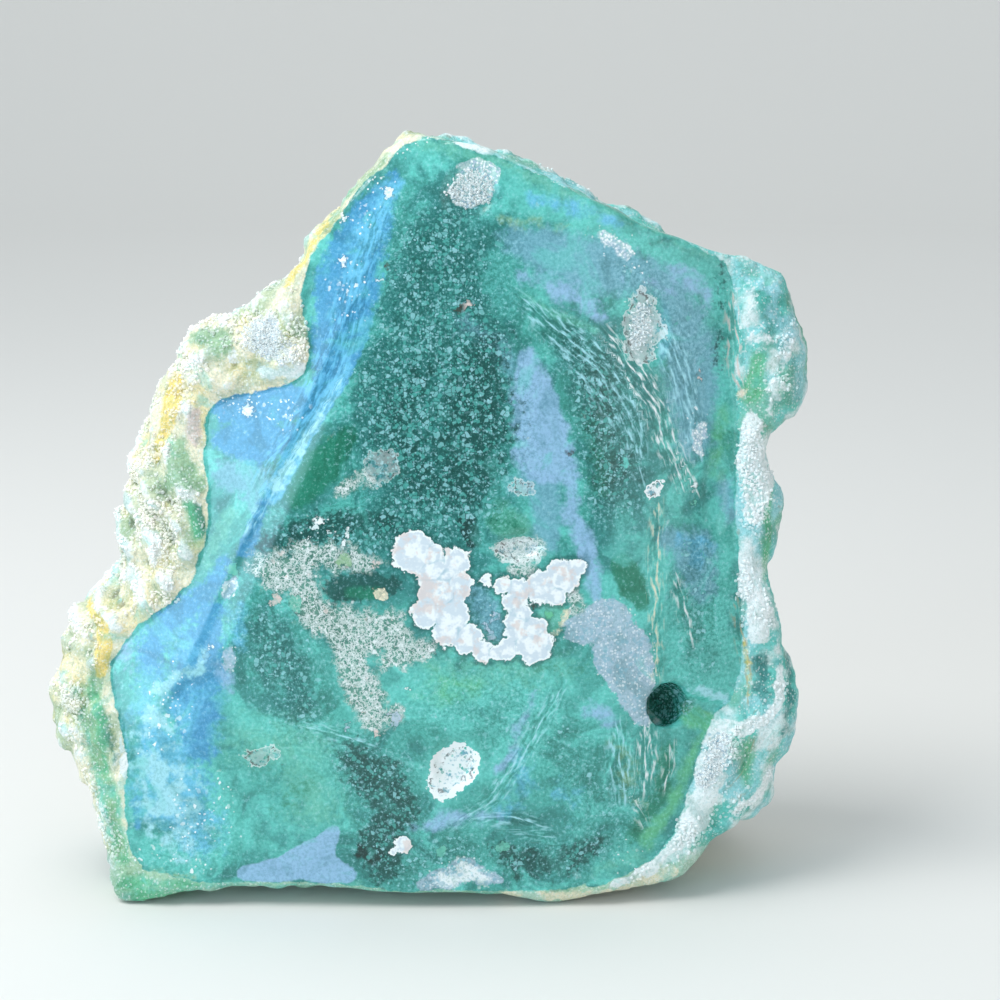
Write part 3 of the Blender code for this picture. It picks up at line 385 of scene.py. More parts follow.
# Where grains stand up on the rind.
CRUSTY = [
    (1.0, 1.5, [(-23, 61, 1.4), (-18.4, 64, 2), (-13, 63, 1.4), (-13, 58, 1.8)]),
    (1.0, 1.5, [(-26, 58, 2), (-29.4, 53, 2), (-31, 47, 2.2), (-31, 40, 3.6), (-27, 42, 3)]),
    (1.0, 1.5, [(-28, 36, 2.6), (-34, 34, 2)]),
    (1.0, 1.5, [(-37.4, 29.6, 2), (-39.4, 24, 2), (-38.6, 19, 1.8)]),
    (0.7, 1.0, [(-36, 14, 0.8), (-34, 7, 0.8)]),
    (1.0, 0.8, [(33.8, 51, 1), (34.4, 46, 1.8), (34.4, 42, 1.2)]),
    (0.9, 0.8, [(37.6, 61, 0.8), (37.4, 54, 1.2)]), (1.0, 0.8, [(33.2, 36, 0.9), (35.4, 31, 1.4)]),
    (1.0, 0.8, [(37.6, 23, 0.6), (34, 19.2, 0.8), (30.4, 15, 1.8), (28, 8.6, 1.6), (23, 4.2, 1)]),
    (0.8, 0.8, [(36.4, 13, 0.6), (33, 10, 0.6)]),
]
# Flow lines of the banding, which the streaks beside them follow: colour, then the line. The white
# and ice streaks of the upper right are partly painted highlights, reflections off the rippled
# polish; the sky and ice ones on the left facet are partly painted sky reflection.
FLOWS = [
    ("ice", [(9.6, 65, 0.6), (14, 61.4, 1.8), (18.6, 57, 2.4), (21, 52.6, 1.8), (22, 49, 0.8)]),
    ("white", [(18.6, 61.4, 0.8), (21, 58, 1.6), (23.4, 54, 1.7), (25.2, 49.6, 1.2),
               (26.6, 45.6, 0.6)]),
    ("ice", [(24.4, 62, 0.8), (26, 58, 1.6), (27.4, 53, 1.4), (28.4, 48.6, 0.8)]),
    ("sky", [(-4.6, 74, 0.8), (-7.4, 66.4, 1.6), (-9, 60, 1.8), (-12.4, 53, 1.6), (-17, 46, 1.2)]),
    ("white", [(25.4, 51, 0.4), (27, 47.6, 0.5), (28.2, 44.6, 0.3)]),
    ("ice", [(20.4, 54, 0.5), (21.4, 49.6, 0.6), (22.4, 46, 0.4)]),
    ("blush", [(32, 65, 0.5), (32.2, 61, 1), (32.4, 57, 0.9), (33.2, 54.6, 0.4)]),
    ("cream", [(24, 44, 0.4), (23.8, 37, 0.7), (24, 30, 0.6), (24, 25.4, 0.4)]),
    ("white", [(25.8, 36.4, 0.3), (26.8, 33, 0.6), (27.8, 28.8, 0.4)]),
    ("honey", [(32.6, 33.4, 0.3), (33.2, 29, 0.6), (34.2, 25.6, 0.5), (34.2, 21.6, 0.3)]),
    ("white", [(25.8, 18, 0.3), (25.6, 15.6, 0.6), (24.8, 13, 0.3)]),
    ("ice", [(20, 20.8, 0.6), (20.2, 17, 1.5), (20.6, 12.6, 0.8)]),
    ("white", [(23.2, 20.6, 0.6), (23.2, 16.6, 1.3), (22.6, 13, 0.6)]),
    ("white", [(21.6, 12.4, 0.4), (23, 9.6, 0.4)]),
    ("ice", [(14, 24.4, 0.5), (11.4, 20.4, 0.9), (9.4, 16.4, 1), (6.6, 12.4, 0.9),
             (2.4, 9.8, 0.4)]),
    ("ice", [(5, 10.4, 0.4), (9, 10.6, 0.9), (12.4, 9.6, 0.4)]),
    ("ice", [(9, 8.9, 0.3), (13, 8.5, 0.3)]),
    ("ice", [(-8.8, 57, 0.5), (-12, 52, 0.7), (-15.2, 47, 0.7), (-18.6, 41, 0.5)]),
    ("honey", [(34.8, 17.8, 0.3), (33.8, 14.6, 0.3), (31.8, 13, 0.2)]),
    ("ice", [(-12.6, 20.6, 0.5), (-9, 19.6, 0.7), (-6, 18.6, 0.4)]),
]
# How far noise of each size moves the edges, in millimetres: much and size, slow noise first.
MARK_SWAY = ((0.45, 3.0), (0.15, 1.2))
POLISH_SWAY = ((0.6, 2.0),)
FLOW_SWAY = ((0.5, 6.0), (0.22, 1.8))
FACET_SWAY = ((0.2, 4.0),)
BALL_SWAY = 0.18
RIND_EDGE = (-0.5, 0.5)      # the rind begins this far outside the edge of the polish
RIND_DEPTH = (1.5, 3.0)      # and this far behind the face
FADE_BACK = (4.0, 9.0)       # the marks die away between these depths behind the face
FAR = 9.0                    # a distance at which nothing of a mark shows

# The crust over its cream ground: each colour, how much of it, whether all over, at the right or
# at the foot, and for patches the size, the least and the full level, and the salt of their noise.
CRUST = [
    ("sage", 0.6, "all", 5.0, 0.05, 0.4, 61), ("straw", 0.4, "all", 2.4, 0.0, 0.4, 65),
    ("seafoam", 0.9, "right", 0, 0, 0, 0), ("aqua", 1.0, "right", 4.0, -0.4, 0.2, 73),
    ("ice", 0.75, "right", 3.4, -0.2, 0.25, 75), ("white", 0.8, "right", 2.6, 0.05, 0.30, 77),
    ("seafoam", 0.9, "foot", 0, 0, 0, 0), ("apple", 0.6, "foot", 4.0, -0.1, 0.3, 79),
    # The cream over the foot is painted light: it lifts the band of the foot that faces down into
    # shade.
    ("cream", 0.35, "foot", 0, 0, 0, 0),
]
# Clouds of colour on the fresh breaks: how much of each, the size of its clouds and their salt.
BREAK_CLOUDS = [
    ("teal", 0.45, 9.0, 101), ("deep", 0.25, 6.0, 105), ("aqua", 0.30, 7.0, 109),
    ("ice", 0.10, 5.0, 113), ("emerald", 0.15, 8.0, 117),
]

# --- Numbers of the skin ----------------------------------------------------------------------
CORNER_CUTS = 2
LUMP_SIZE = 2.6              # the rounded lumps of the rind
GRIT_LUMP_SIZE = 1.1         # the small grains on them
FOLD_SPACING = 3.4           # the draped folds of the left rind
FOLD_RISE = 0.75
FOLDS_SIDE = (-18.0, -24.0)  # they come in between these places across
FOLDS_FOOT = (26.0, 32.0)    # and these heights
FOLDS_TOP = (56.0, 50.0)     # and end between these
RELIEF_EDGE = (0.0, 1.6)     # the rind's relief rises this far outside the edge of the polish,
RELIEF_DEPTH = (1.0, 3.0)    # this far behind the face
RELIEF_FOOT = (1.2, 2.6)     # and above the flat foot
SHELL_SIZE = 13.0            # the ripples of the fresh breaks
SHELL_RISE = 0.6
BREAK_SIZE = 16.0            # the patches of the back that are freshly broken
NEAR_POLISH = 0.7            # a vertex this near the face's surface belongs to it
SMALLEST_GRAIN = (0.5, 0.5, 0.5)
LARGEST_GRAIN = (1.4, 1.4, 1.3)
SEED = 11

# --- Numbers of the material ------------------------------------------------------------------
# Size in millimetres, detail, roughness and distortion of the noise: first the milky wisps, then
# the two that fray the edges of the colours.
NOISES = ((6.0, 4.0, 0.6, 1.2), (1.8, 3.0, 0.65, 0.0), (0.8, 3.0, 0.65, 0.0))
CELL_SIZES = (0.46, 0.26)    # the grains of the stone in millimetres
CELL_RIMS = ((0.02, 0.13), (0.55, 0.35))    # where each size's grains begin and are whole
CELL_WARP = 0.45             # how ragged the grains are
LAYER_MOST = 0.9             # a colour covers no more than this of what is under it
SPECK_SIZE = 0.36            # the specks that are everywhere in the stone
THREADS_TO_A_MM = 2.6        # the streaks' threads, drawn coarser than real ones so that they show
THREAD_BREAKS = 0.62         # and how often each one changes along its millimetres
GRIT_SIZE = 0.5              # the grit on the rind
GRIT_HEIGHT = 0.22
POLISH_ROUGHNESS = 0.17
RIND_ROUGHNESS = 0.65
QUARTZ_IOR = 1.54
# What the material reads off the mesh, by the output that gives it: first for the ground colour,
# then for the marks on it.
GROUND = [("Fac", ("rind", "raised", *(name for name, _, _ in LAYERS))), ("Color", ("crust",))]
MARKS = [
    ("Fac", ("grainy", "mossy", "flecked", "drusy", "knobs", "cavity", "cavity_wall")),
    ("Color", ("flow_colour", "knob_colour")), ("Vector", ("flow", "balls")),
]

# --- Numbers of the stage ---------------------------------------------------------------------
AIM = (7.6, -9.0, 43.3)      # the middle of the view, on the stone's drawing
EYE_AWAY = 212.5             # the eye's distance from it
EYE_RISE = radians(12)       # and its height above level
FLOOR_RADIUS = 1.0           # metres from the stone to where the floor begins to rise
SWEEP_RADIUS = 0.9
SWEEP_STEPS = 17
ROUND = np.linspace(0, 2 * np.pi, 96, endpoint=False)
# Each light's size, place and aim in metres.
LIGHTS = [
    ("key", 0.30, (-0.22, -0.10, 0.42), (0, 0, 0.04)),
    ("fill", 0.50, (0.30, -0.50, 0.22), (0, 0, 0.04)),
    ("sheen", 0.34, (-0.46, -0.50, 0.16), (0, 0, 0.05)),
    ("wash", 1.2, (0, 0.5, 1.5), (0, 2.0, 0.5)),
]


def linear(code):
    """An sRGB hex colour as the linear numbers that a shader takes."""
    parts = [int(code[k:k + 2], 16) / 255 for k in (1, 3, 5)]
    return tuple(p / 12.92 if p <= 0.04045 else ((p + 0.055) / 1.055) ** 2.4 for p in parts)


def tint(name, code, what):
    """A colour that a user can change."""
    return FloatVectorProperty(name=name, description=what, subtype="COLOR", size=3, min=0, max=1,
                               default=linear(code))


def amount(name, value, what, unit="NONE"):
    """A number that a user can change."""
    return FloatProperty(name=name, description=what, default=value, unit=unit)


# --- Settings ---------------------------------------------------------------------------------
class SpecimenColours(bpy.types.PropertyGroup):
    """The mineral colours of the stone."""
    turquoise: tint("Turquoise", "#4aa59b", "Nickel green with a little blue, most of the stone")
    teal: tint("Teal", "#33837f", "The ground of the grainy field")
    deep: tint("Deep green", "#12504b", "Clear chalcedony seen deep into")
    pool: tint("Pool", "#042623", "The darkest clear pools")
    emerald: tint("Emerald", "#1c7f64", "Windows of clean green")
    seafoam: tint("Seafoam", "#68bba6", "Milky green at the top and the middle")
    apple: tint("Apple green", "#63bb8b", "Nickel-rich bands by the rind")
    aqua: tint("Aqua", "#64c8bd", "Bright milky patches")
    ice: tint("Ice blue", "#a4dbe4", "Pale bands and grains")
    sky: tint("Sky blue", "#69bcdd", "Thin blue bands")
    # Azure, with the sky blue and ice beside it on the left of the face, is partly painted
    # reflection of a blue sky, laid over the stone's own blue.
    azure: tint("Azure", "#4796c4", "The blue of the left facet")
    slate: tint("Slate", "#72abbc", "Greyish chalcedony of the upper right")
    lilac: tint("Lilac", "#93bada", "Milky blue-lilac patches")
    pearl: tint("Pearl", "#abc0d0", "Fine pale druse")
    white: tint("White", "#eef3f3", "White chalcedony and crusts")
    cream: tint("Cream", "#ece3c6", "The weathered rind")
    straw: tint("Straw", "#f0d479", "Iron-stained bands of the rind")
    sage: tint("Sage", "#8db48c", "Green showing through the rind")
    blush: tint("Blush", "#d9c6be", "Pinkish grains and streaks")
    honey: tint("Honey", "#a39c7c", "Brown iron threads")
    lichen: tint("Lichen", "#62907f", "Grey-green moss in the stone")
    umber: tint("Umber", "#3c3229", "Dark specks of matrix")


class SkinSizes(bpy.types.PropertyGroup):
    """The fineness and relief of the stone's surface."""
    step: amount("Skin step", 0.46 * MM, "Spacing of the surface mesh", "LENGTH")
    lump: amount("Rind lumps", 0.75 * MM, "Height of the rind's rounded lumps", "LENGTH")
    grit: amount("Rind grit", 0.30 * MM, "Height of the rind's small grains", "LENGTH")
    granules: amount("Granules", 11e6, "Granules on a square metre of crust")
    granule: amount("Granule size", 0.22 * MM, "Radius of a granule", "LENGTH")
    crystals: amount("Crystals", 17e6, "Crystals on a square metre of druse")
    crystal: amount("Crystal size", 0.17 * MM, "Radius of a druse crystal", "LENGTH")
    seed: IntProperty(name="Seed", description="Seed of all that is scattered", default=SEED)


class StageSizes(bpy.types.PropertyGroup):
    """The camera, the light and the floor."""
    lens: amount("Lens", 72.0, "Focal length in millimetres on a 36 mm frame")
    key: amount("Key light", 1.55, "Power of the window-like light", "POWER")
    fill: amount("Fill light", 0.5, "Power of the front fill", "POWER")
    sheen: amount("Sheen light", 1.5, "Power of the cool light the facet mirrors", "POWER")
    wash: amount("Backdrop light", 9.0, "Power of the light on the backdrop", "POWER")
    sky: amount("Room light", 0.62, "Strength of the even light all round")
    cool: tint("Cool light", "#c4e7ff", "The colour of the light that the facet mirrors")
    daylight: tint("Daylight", "#eff7ff", "The colour of the light all round")
    floor: tint("Floor", "#dededa", "The pale floor")


# --- Smooth numbers over the surface ----------------------------------------------------------
def eased(low, high, value):
    """Smoothly from 0 where the value is low to 1 where it is high."""
    t = np.clip((value - low) / (high - low), 0.0, 1.0)
    return t * t * (3 - 2 * t)


def scattered(cells, salt):
    """A fixed number from 0 to 1 for each whole-number cell."""
    mixed = cells.astype(np.int64) @ np.array((73856093, 19349663, 83492791)) + salt * 2654435761
    mixed = (mixed ^ (mixed >> 13)) * 1274126177 & 0x7FFFFFFF
    return (mixed ^ (mixed >> 11)) % 65536 / 65536


def soft_noise(points, size, salt=0):
    """Slow noise from -1 to 1 whose hills are about this size."""
    place = points / size
    cell = np.floor(place)
    t = place - cell
    t = t * t * (3 - 2 * t)
    total = np.zeros(len(points))
    for corner in np.ndindex(2, 2, 2):
        weight = np.prod(np.where(corner, t, 1 - t), axis=1)
        total += weight * scattered(cell + corner, salt)
    return total * 2 - 1


def clouds(points, size, salt=0):
    """Noise with finer noise on it."""
    return sum(soft_noise(points, size / 2 ** k, salt + k) / 2 ** k for k in range(3)) / 1.75


def bumps(points, size, salt=0):
    """Rounded, grape-like relief: 1 on top of a bump, 0 in the seams between them."""
    place = points / size
    cell = np.floor(place)
    nearest = np.full(len(points), 9.0)
    for corner in np.ndindex(3, 3, 3):
        other = cell + np.array(corner) - 1
        jitter = np.stack([scattered(other, salt + k) for k in range(3)], axis=1)
        nearest = np.minimum(nearest, ((other + jitter - place) ** 2).sum(axis=1))
    return np.clip(1 - 1.6 * nearest, 0, 1)


def off_line(x, z, line):
    """How far each point lies outside a line of x, z and half width. Below 0 is on it."""
    best = np.full(len(x), 1e3)
    for (ax, az, aw), (bx, bz, bw) in zip(line, line[1:] or line):
        dx, dz = bx - ax, bz - az
        length = dx * dx + dz * dz or 1.0
        t = np.clip(((x - ax) * dx + (z - az) * dz) / length, 0, 1)
        away = np.hypot(x - ax - t * dx, z - az - t * dz)
        best = np.minimum(best, away - (aw + (bw - aw) * t))
    return best


def along_line(x, z, line):
    """How far along a line each point lies, and how far to its left or right."""
    best = np.full(len(x), 1e3)
    along, across = np.zeros(len(x)), np.zeros(len(x))
    run = 0.0
    for (ax, az, _), (bx, bz, _) in zip(line, line[1:]):
        dx, dz = bx - ax, bz - az
        length = float(np.hypot(dx, dz))
        t = np.clip(((x - ax) * dx + (z - az) * dz) / length ** 2, 0, 1)
        away = np.hypot(x - ax - t * dx, z - az - t * dz)
        side = ((x - ax) * dz - (z - az) * dx) / length
        closer = away < best
        along = np.where(closer, run + t * length, along)
        across = np.where(closer, side, across)
        best = np.minimum(best, away)
        run += length
    return along, across


def eased_line(line):
    """An open line with its corners cut twice, and its ends where they were."""
    for _ in range(CORNER_CUTS):
        line = [line[0]] + [
            tuple(a + (b - a) * share for a, b in zip(here, there))
            for here, there in zip(line, line[1:])
            for share in (0.25, 0.75)
        ] + [line[-1]]
    return line


def rounded(corners):
    """A closed outline with its corners cut twice."""
    for _ in range(CORNER_CUTS):
        corners = [
            tuple(a + (b - a) * share for a, b in zip(here, there))
            for here, there in zip(corners, corners[1:] + corners[:1])
            for share in (0.25, 0.75)
        ]
    return corners


def outside_polish(x, z):
    """How far each point lies outside the edge of the polish. Below 0 is on the polish."""
    edge = rounded(FACE_EDGE)
    inside = np.zeros(len(x), bool)
    for (ax, az), (bx, bz) in zip(edge, edge[1:] + edge[:1]):
        if az != bz:
            inside ^= ((az > z) != (bz > z)) & (x < (bx - ax) * (z - az) / (bz - az) + ax)
    away = off_line(x, z, [(px, pz, 0.0) for px, pz in edge + edge[:1]])
    return np.where(inside, -away, away)


def face_y(x, z):
    """The polished face, with its crown, its second facet and its rolled edge."""
    out = np.hypot((x - MIDDLE[0]) / CROWN_SPREAD[0], (z - MIDDLE[1]) / CROWN_SPREAD[1])
    crown = FACE_CROWN * np.maximum(0.0, 1 - out * out)
    roll = ROLL * np.maximum(0.0, x - ROLL_X) ** 2
    (x0, z0), (x1, z1) = FACET_RIDGE
    beyond = ((z1 - z0) * (x - x0) - (x1 - x0) * (z - z0)) / float(np.hypot(x1 - x0, z1 - z0))
    blended = FACET_BLEND * eased(-FACET_BLEND, FACET_BLEND, beyond)
    fall = FACET_SLOPE * np.where(beyond > FACET_BLEND, beyond, blended) * eased(*FACET_FADE, z)
    return FACE_FOOT_Y + FACE_LEAN * z - crown + roll + fall


def sunk(x, z):
    """The depth of the hollows and of the groove below the polish."""
    depth = np.zeros(len(x))
    for mid_x, mid_z, half_x, half_z, deep in HOLLOWS:
        out = np.hypot((x - mid_x) / half_x, (z - mid_z) / half_z)
        depth = np.maximum(depth, deep * (1 - eased(0.55, 1.1, out)))
    run = np.subtract(GROOVE_END, PIT)
    along = np.clip(((x - PIT[0]) * run[0] + (z - PIT[1]) * run[1]) / (run @ run), 0, 1)
    away = np.hypot(x - PIT[0] - run[0] * along, z - PIT[1] - run[1] * along)
    return depth + GROOVE_DEPTH * (1 - 0.5 * along) * (1 - eased(0.2, 1.0, away / GROOVE_WIDTH))


# --- The skin of the stone --------------------------------------------------------------------
def vertex_numbers(mesh, kind, size):
    """The mesh's places or normals as rows of numbers."""
    values = np.empty(len(mesh.vertices) * size, np.float32)
    mesh.vertices.foreach_get(kind, values)
    return values.reshape(-1, size).astype(np.float64)


def fine_copy(step):
    """The CAD solid's mesh, merged and remeshed evenly. The CAD object itself stays as it is."""
    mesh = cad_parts[NODE].data.copy()
    merged = bmesh.new()
    merged.from_mesh(mesh)
    bmesh.ops.remove_doubles(merged, verts=merged.verts, dist=0.001 * MM)
    merged.to_mesh(mesh)
    merged.free()
    holder = bpy.data.objects.new("coarse_skin", mesh)
    bpy.context.scene.collection.objects.link(holder)
    remesh = holder.modifiers.new("even", "REMESH")
    remesh.mode = "VOXEL"
    remesh.voxel_size = step
    remesh.adaptivity = 0.0
    bpy.context.view_layer.update()
    graph = bpy.context.evaluated_depsgraph_get()
    fine = bpy.data.meshes.new_from_object(holder.evaluated_get(graph))
    bpy.data.objects.remove(holder)
    bpy.data.meshes.remove(mesh)
    fine.materials.clear()
    return fine


def fresh_breaks(points, behind):
    """Where the back is freshly broken, from 0 to 1. The rest of it is weathered."""
    return eased(-0.08, 0.12, clouds(points, BREAK_SIZE, 15)) * eased(*FADE_BACK, behind)


def work_relief(mesh, sizes):
    """Trues the polish, and raises the rind's relief and the ripples of the fresh breaks.

    It returns how high the rind's relief is at each vertex.
    """
    points = vertex_numbers(mesh, "co", 3) / MM - SHIFT
    normals = vertex_numbers(mesh, "normal", 3)
    x, y, z = points.T
    outside = outside_polish(x, z)
    behind = y - face_y(x, z)
    level = face_y(x, z) + sunk(x, z)
    near = np.abs(y - level) < NEAR_POLISH
    in_pit = (np.hypot(x - PIT[0], z - PIT[1]) < PIT_CLEAR) & (behind < PIT_REACH)
    ground = near & ~in_pit & (outside < 0.0) & (normals[:, 1] < -0.5)
    share = eased(0.0, -0.6, outside)
    points[:, 1] = np.where(ground, y + (level - y) * share, y)
    rough = np.maximum(eased(*RELIEF_EDGE, outside), eased(*RELIEF_DEPTH, y - level)) * ~in_pit
    rough *= eased(*RELIEF_FOOT, z)
    relief = sizes.lump / MM * (bumps(points, LUMP_SIZE, 3) - 0.45)
    relief += sizes.grit / MM * (bumps(points, GRIT_LUMP_SIZE, 7) - 0.4)
    relief += 0.2 * clouds(points, 3.0, 9)
    turns = (x * 0.80 + z * 0.45) / FOLD_SPACING + 1.1 * clouds(points, 8.0, 13)
    folds = np.sin(2 * np.pi * turns)
    folds *= 0.6 + 0.6 * clouds(points, 5.0, 14)
    left = eased(*FOLDS_SIDE, x) * eased(*FOLDS_FOOT, z) * eased(*FOLDS_TOP, z)
    relief = relief * (1 - 0.4 * left) + FOLD_RISE * folds * left
    fresh = fresh_breaks(points, behind)
    relief *= (1 - 0.8 * fresh) * (1 - 0.45 * eased(16.0, 24.0, x))
    shells = SHELL_RISE * np.abs(np.sin(2 * np.pi * clouds(points, SHELL_SIZE, 17)))
    shells = fresh * (shells + 0.2 * clouds(points, 1.4, 19))
    points += normals * ((relief + shells) * rough)[:, None]
    points[:, 2] = np.maximum(points[:, 2], FOOT)
    mesh.vertices.foreach_set("co", ((points + SHIFT) * MM).ravel())
    mesh.update()
    return relief * rough


def give(mesh, name, values):
    """Keeps numbers, vectors or colours on the vertices under a name that a material can read."""
    kind, field = {1: ("FLOAT", "value"), 3: ("FLOAT_VECTOR", "vector"),
                   4: ("FLOAT_COLOR", "color")}[values.size // len(values)]
    layer = mesh.attributes.new(name, kind, "POINT")
    layer.data.foreach_set(field, np.ravel(values).astype(np.float32))


def swayed(axis, points, sway, salts):
    """The points' place on an axis, moved about by noise so that edges wander."""
    place = points[:, axis]
    for (much, size), salt in zip(sway, salts):
        place = place + much * clouds(points, size, salt)
    return place


def blue_side(x, z):
    """From 1 on the blue of the facet, partly painted sky reflection, to -1 across its crisp edge,
    and 0 above and below them.
    """
    edge_x, edge_z = zip(*BLUE_EDGE)
    side = np.clip((np.interp(z, edge_z, edge_x) - x) / BLUE_EDGE_SOFT, -1, 1)
    return side * eased(*BLUE_FOOT, z) * eased(*BLUE_TOP, z)


def laid(x, z, entries, side=0.0):
    """How much of something its lines lay at each point.

    It is none outside a line, half on its edge and all well inside. A line stays on its own side
    of the facet's edge.
    """
    found = np.zeros(len(x))
    for strength, fray, line in entries:
        own = np.sign(blue_side(*line[len(line) // 2][:2]))
        here = np.clip(0.5 - off_line(x, z, line) / (2 * fray), 0, 1)
        found = np.maximum(found, strength * (here * np.clip(1 + own * side, 0, 1)))
    return found


def crust_colour(points, colours, places):
    """The weathered crust, each colour of CRUST over the one before."""
    crust = np.tile(np.array(colours.cream), (len(points), 1))
    for name, most, place, size, low, high, salt in CRUST:
        share = most * places[place]
        if size:
            share = share * eased(low, high, clouds(points, size, salt))
        crust += (np.array(getattr(colours, name)) - crust) * share[:, None]
    return crust


def paint_balls(mesh, x, z, hidden):
    """The white balls as distance outside them, place from core to rim, and width of the crease."""
    x = x + BALL_SWAY * clouds(np.stack([x, z, z], axis=1), 1.2, 71)
    nearest, second, core = (np.full(len(x), value) for value in (FAR, FAR, 1.0))
    for mid_x, mid_z, radius in WHITE_BALLS:
        away = np.hypot(x - mid_x, z - mid_z) - radius
        closer = away < nearest
        second = np.where(closer, nearest, np.minimum(second, away))
        core = np.where(closer, 1 + away / radius, core)
        nearest = np.minimum(nearest, away)
    nearest = np.where(hidden, FAR, nearest)
    give(mesh, "balls", np.stack([nearest, core, second - nearest], axis=1))


def paint_knobs(mesh, x, z, hidden, colours):
    """The single grains as the distance outside the nearest one, and its colour."""
    nearest, colour = np.full(len(x), FAR), np.ones((len(x), 4))
    for mid_x, mid_z, radius, name in KNOBS:
        away = np.hypot(x - mid_x, z - mid_z) - radius
        colour = np.where((away < nearest)[:, None], full(getattr(colours, name)), colour)
        nearest = np.minimum(nearest, away)
    give(mesh, "knobs", np.where(hidden, FAR, nearest))
    give(mesh, "knob_colour", colour)


def paint_cavities(mesh, x, z, hidden):
    """The old cavities as the distance outside the nearest outline, and its wall's thickness."""
    nearest, wall = np.full(len(x), FAR), np.zeros(len(x))
    for mid_x, mid_z, half_x, half_z, lean, thick in CAVITIES:
        out = np.hypot((x - mid_x - lean * (z - mid_z)) / half_x, (z - mid_z) / half_z)
        away = (out - 1) * min(half_x, half_z)
        wall = np.where(away < nearest, thick, wall)
        nearest = np.minimum(nearest, away)
    give(mesh, "cavity", np.where(hidden, FAR, nearest))
    give(mesh, "cavity_wall", wall)


def paint_flows(mesh, points, in_front, colours):
    """The place along and across the nearest flow line, how much of it shows, and its colour."""
    x, _, z = points.T
    sway_x, sway_z = swayed(0, points, FLOW_SWAY, (91, 92)), swayed(2, points, FLOW_SWAY, (95, 96))
    flow, mask, colour = np.zeros((len(x), 3)), np.zeros(len(x)), np.ones((len(x), 4))
    for name, line in FLOWS:
        line = eased_line(line)
        here = eased(0.6, -0.5, off_line(x, z, line)) * in_front
        along, across = along_line(sway_x, sway_z, line)
        closer = (here > mask)[:, None]
        flow = np.where(closer, np.stack([along, across, here], axis=1), flow)
        colour = np.where(closer, full(getattr(colours, name)), colour)
        mask = np.maximum(mask, here)
    give(mesh, "flow", flow)
    give(mesh, "flow_colour", colour)


def paint(mesh, colours, raised):
    """Lays the colours and the marks on the stone, as numbers on its vertices."""
    points = vertex_numbers(mesh, "co", 3) / MM - SHIFT
    x, y, z = points.T
    behind = y - face_y(x, z)
    in_back = eased(*FADE_BACK, behind)
    in_front = 1 - in_back
    hidden = behind > FADE_BACK[0]
    wx, wz = swayed(0, points, MARK_SWAY, (21, 25)), swayed(2, points, MARK_SWAY, (31, 35))
    outside = outside_polish(swayed(0, points, POLISH_SWAY, (41,)),
                             swayed(2, points, POLISH_SWAY, (45,)))
    from_pit = np.hypot(x - PIT[0], z - PIT[1])
    in_pit = eased(PIT_CLEAR, PIT_CORE, from_pit) * eased(0.4, 1.4, behind)
    in_pit = in_pit * eased(PIT_REACH + 1, PIT_REACH, behind)
    rind = np.maximum(eased(*RIND_EDGE, outside), eased(*RIND_DEPTH, behind)) * (1 - in_pit)
    fresh = fresh_breaks(points, behind)
    on_polish = 1 - eased(0.3, 0.8, rind)
    on_rind = eased(0.2, 0.7, rind) * in_front
    facet = blue_side(swayed(0, points, FACET_SWAY, (131,)), z)

    on_break = {name: fresh * np.clip(much + clouds(points, size, salt), 0, 1)
                for name, much, size, salt in BREAK_CLOUDS}
    # In the pit, pool, deep green and emerald darken the hole: painted shade over the green of its
    # broken walls.
    on_break.update(turquoise=fresh, pool=0.45 * in_pit, emerald=on_break["emerald"] + in_pit,
                    deep=np.maximum(on_break["deep"], 0.6 * in_pit))
    for name, _, _ in LAYERS:
        front = [entry[1:] for entry in FACE_COLOURS if entry[0] == name]
        skin = [entry[1:] for entry in RIND_COLOURS if entry[0] == name]
        much = np.maximum(laid(wx, wz, front, facet) * on_polish, laid(wx, wz, skin) * on_rind)
        give(mesh, name, np.maximum(much, on_break.get(name, 0.0)))

    to_right = eased(10.0, 24.0, x) * in_front
    to_right = to_right + eased(66.0, 70.0, z) * eased(-2.0, 4.0, x) * in_front
    crust = crust_colour(points, colours, {
        "all": np.ones(len(x)), "right": np.minimum(to_right, 1.0),
        "foot": eased(6.6, 4.8, z) * in_front,
    })
    ragged = 0.9 * clouds(points, 1.6, 141)
    drusy = laid(wx + ragged, wz - ragged, DRUSY) * in_front
    hollow = np.maximum(eased(0.25, 0.5, sunk(x, z)), rind)
    broken_grain = np.maximum(0.8 * fresh * eased(-0.2, 0.3, clouds(points, 9.0, 121)), in_pit)
    patchy = eased(-0.25, 0.2, clouds(points, 2.5, 81)) * eased(1.6, 2.6, z)
    crusty = laid(x, z, CRUSTY) * rind * in_front * patchy
    for name, values in {
        "crust": np.hstack([crust, np.ones((len(x), 1))]),
        "rind": rind,
        "raised": raised,
        "grainy": np.maximum(laid(wx, wz, GRAINY, facet) * on_polish, broken_grain),
        "mossy": laid(wx, wz, MOSSY) * on_polish,
        "flecked": laid(wx, wz, FLECKED) * in_front,
        "drusy": drusy,
        "crystal_bed": eased(0.3, 0.8, drusy) * hollow,
        "left_crust": crusty * (x < 0),
        "right_crust": crusty * (x >= 0),
        "back_crust": 0.25 * in_back * (1 - fresh) * patchy,
    }.items():
        give(mesh, name, values)
    paint_balls(mesh, x, z, hidden)
    paint_knobs(mesh, x, z, hidden, colours)
    paint_cavities(mesh, x, z, hidden)
    paint_flows(mesh, points, in_front, colours)


# --- Materials --------------------------------------------------------------------------------
def full(colour):
    """A colour with its alpha."""
    return (*colour, 1.0)


def node(tree, kind, sockets=(), out=None, **settings):
    """Adds a node with its settings, sets or links its sockets, and returns it or one output."""
    made = tree.nodes.new(kind)
    for name, value in settings.items():
        setattr(made, name, value)
    for key, value in dict(sockets).items():
        if isinstance(value, bpy.types.NodeSocket):
            tree.links.new(value, made.inputs[key])
        else:
            made.inputs[key].default_value = value
    return made if out is None else made.outputs[out]


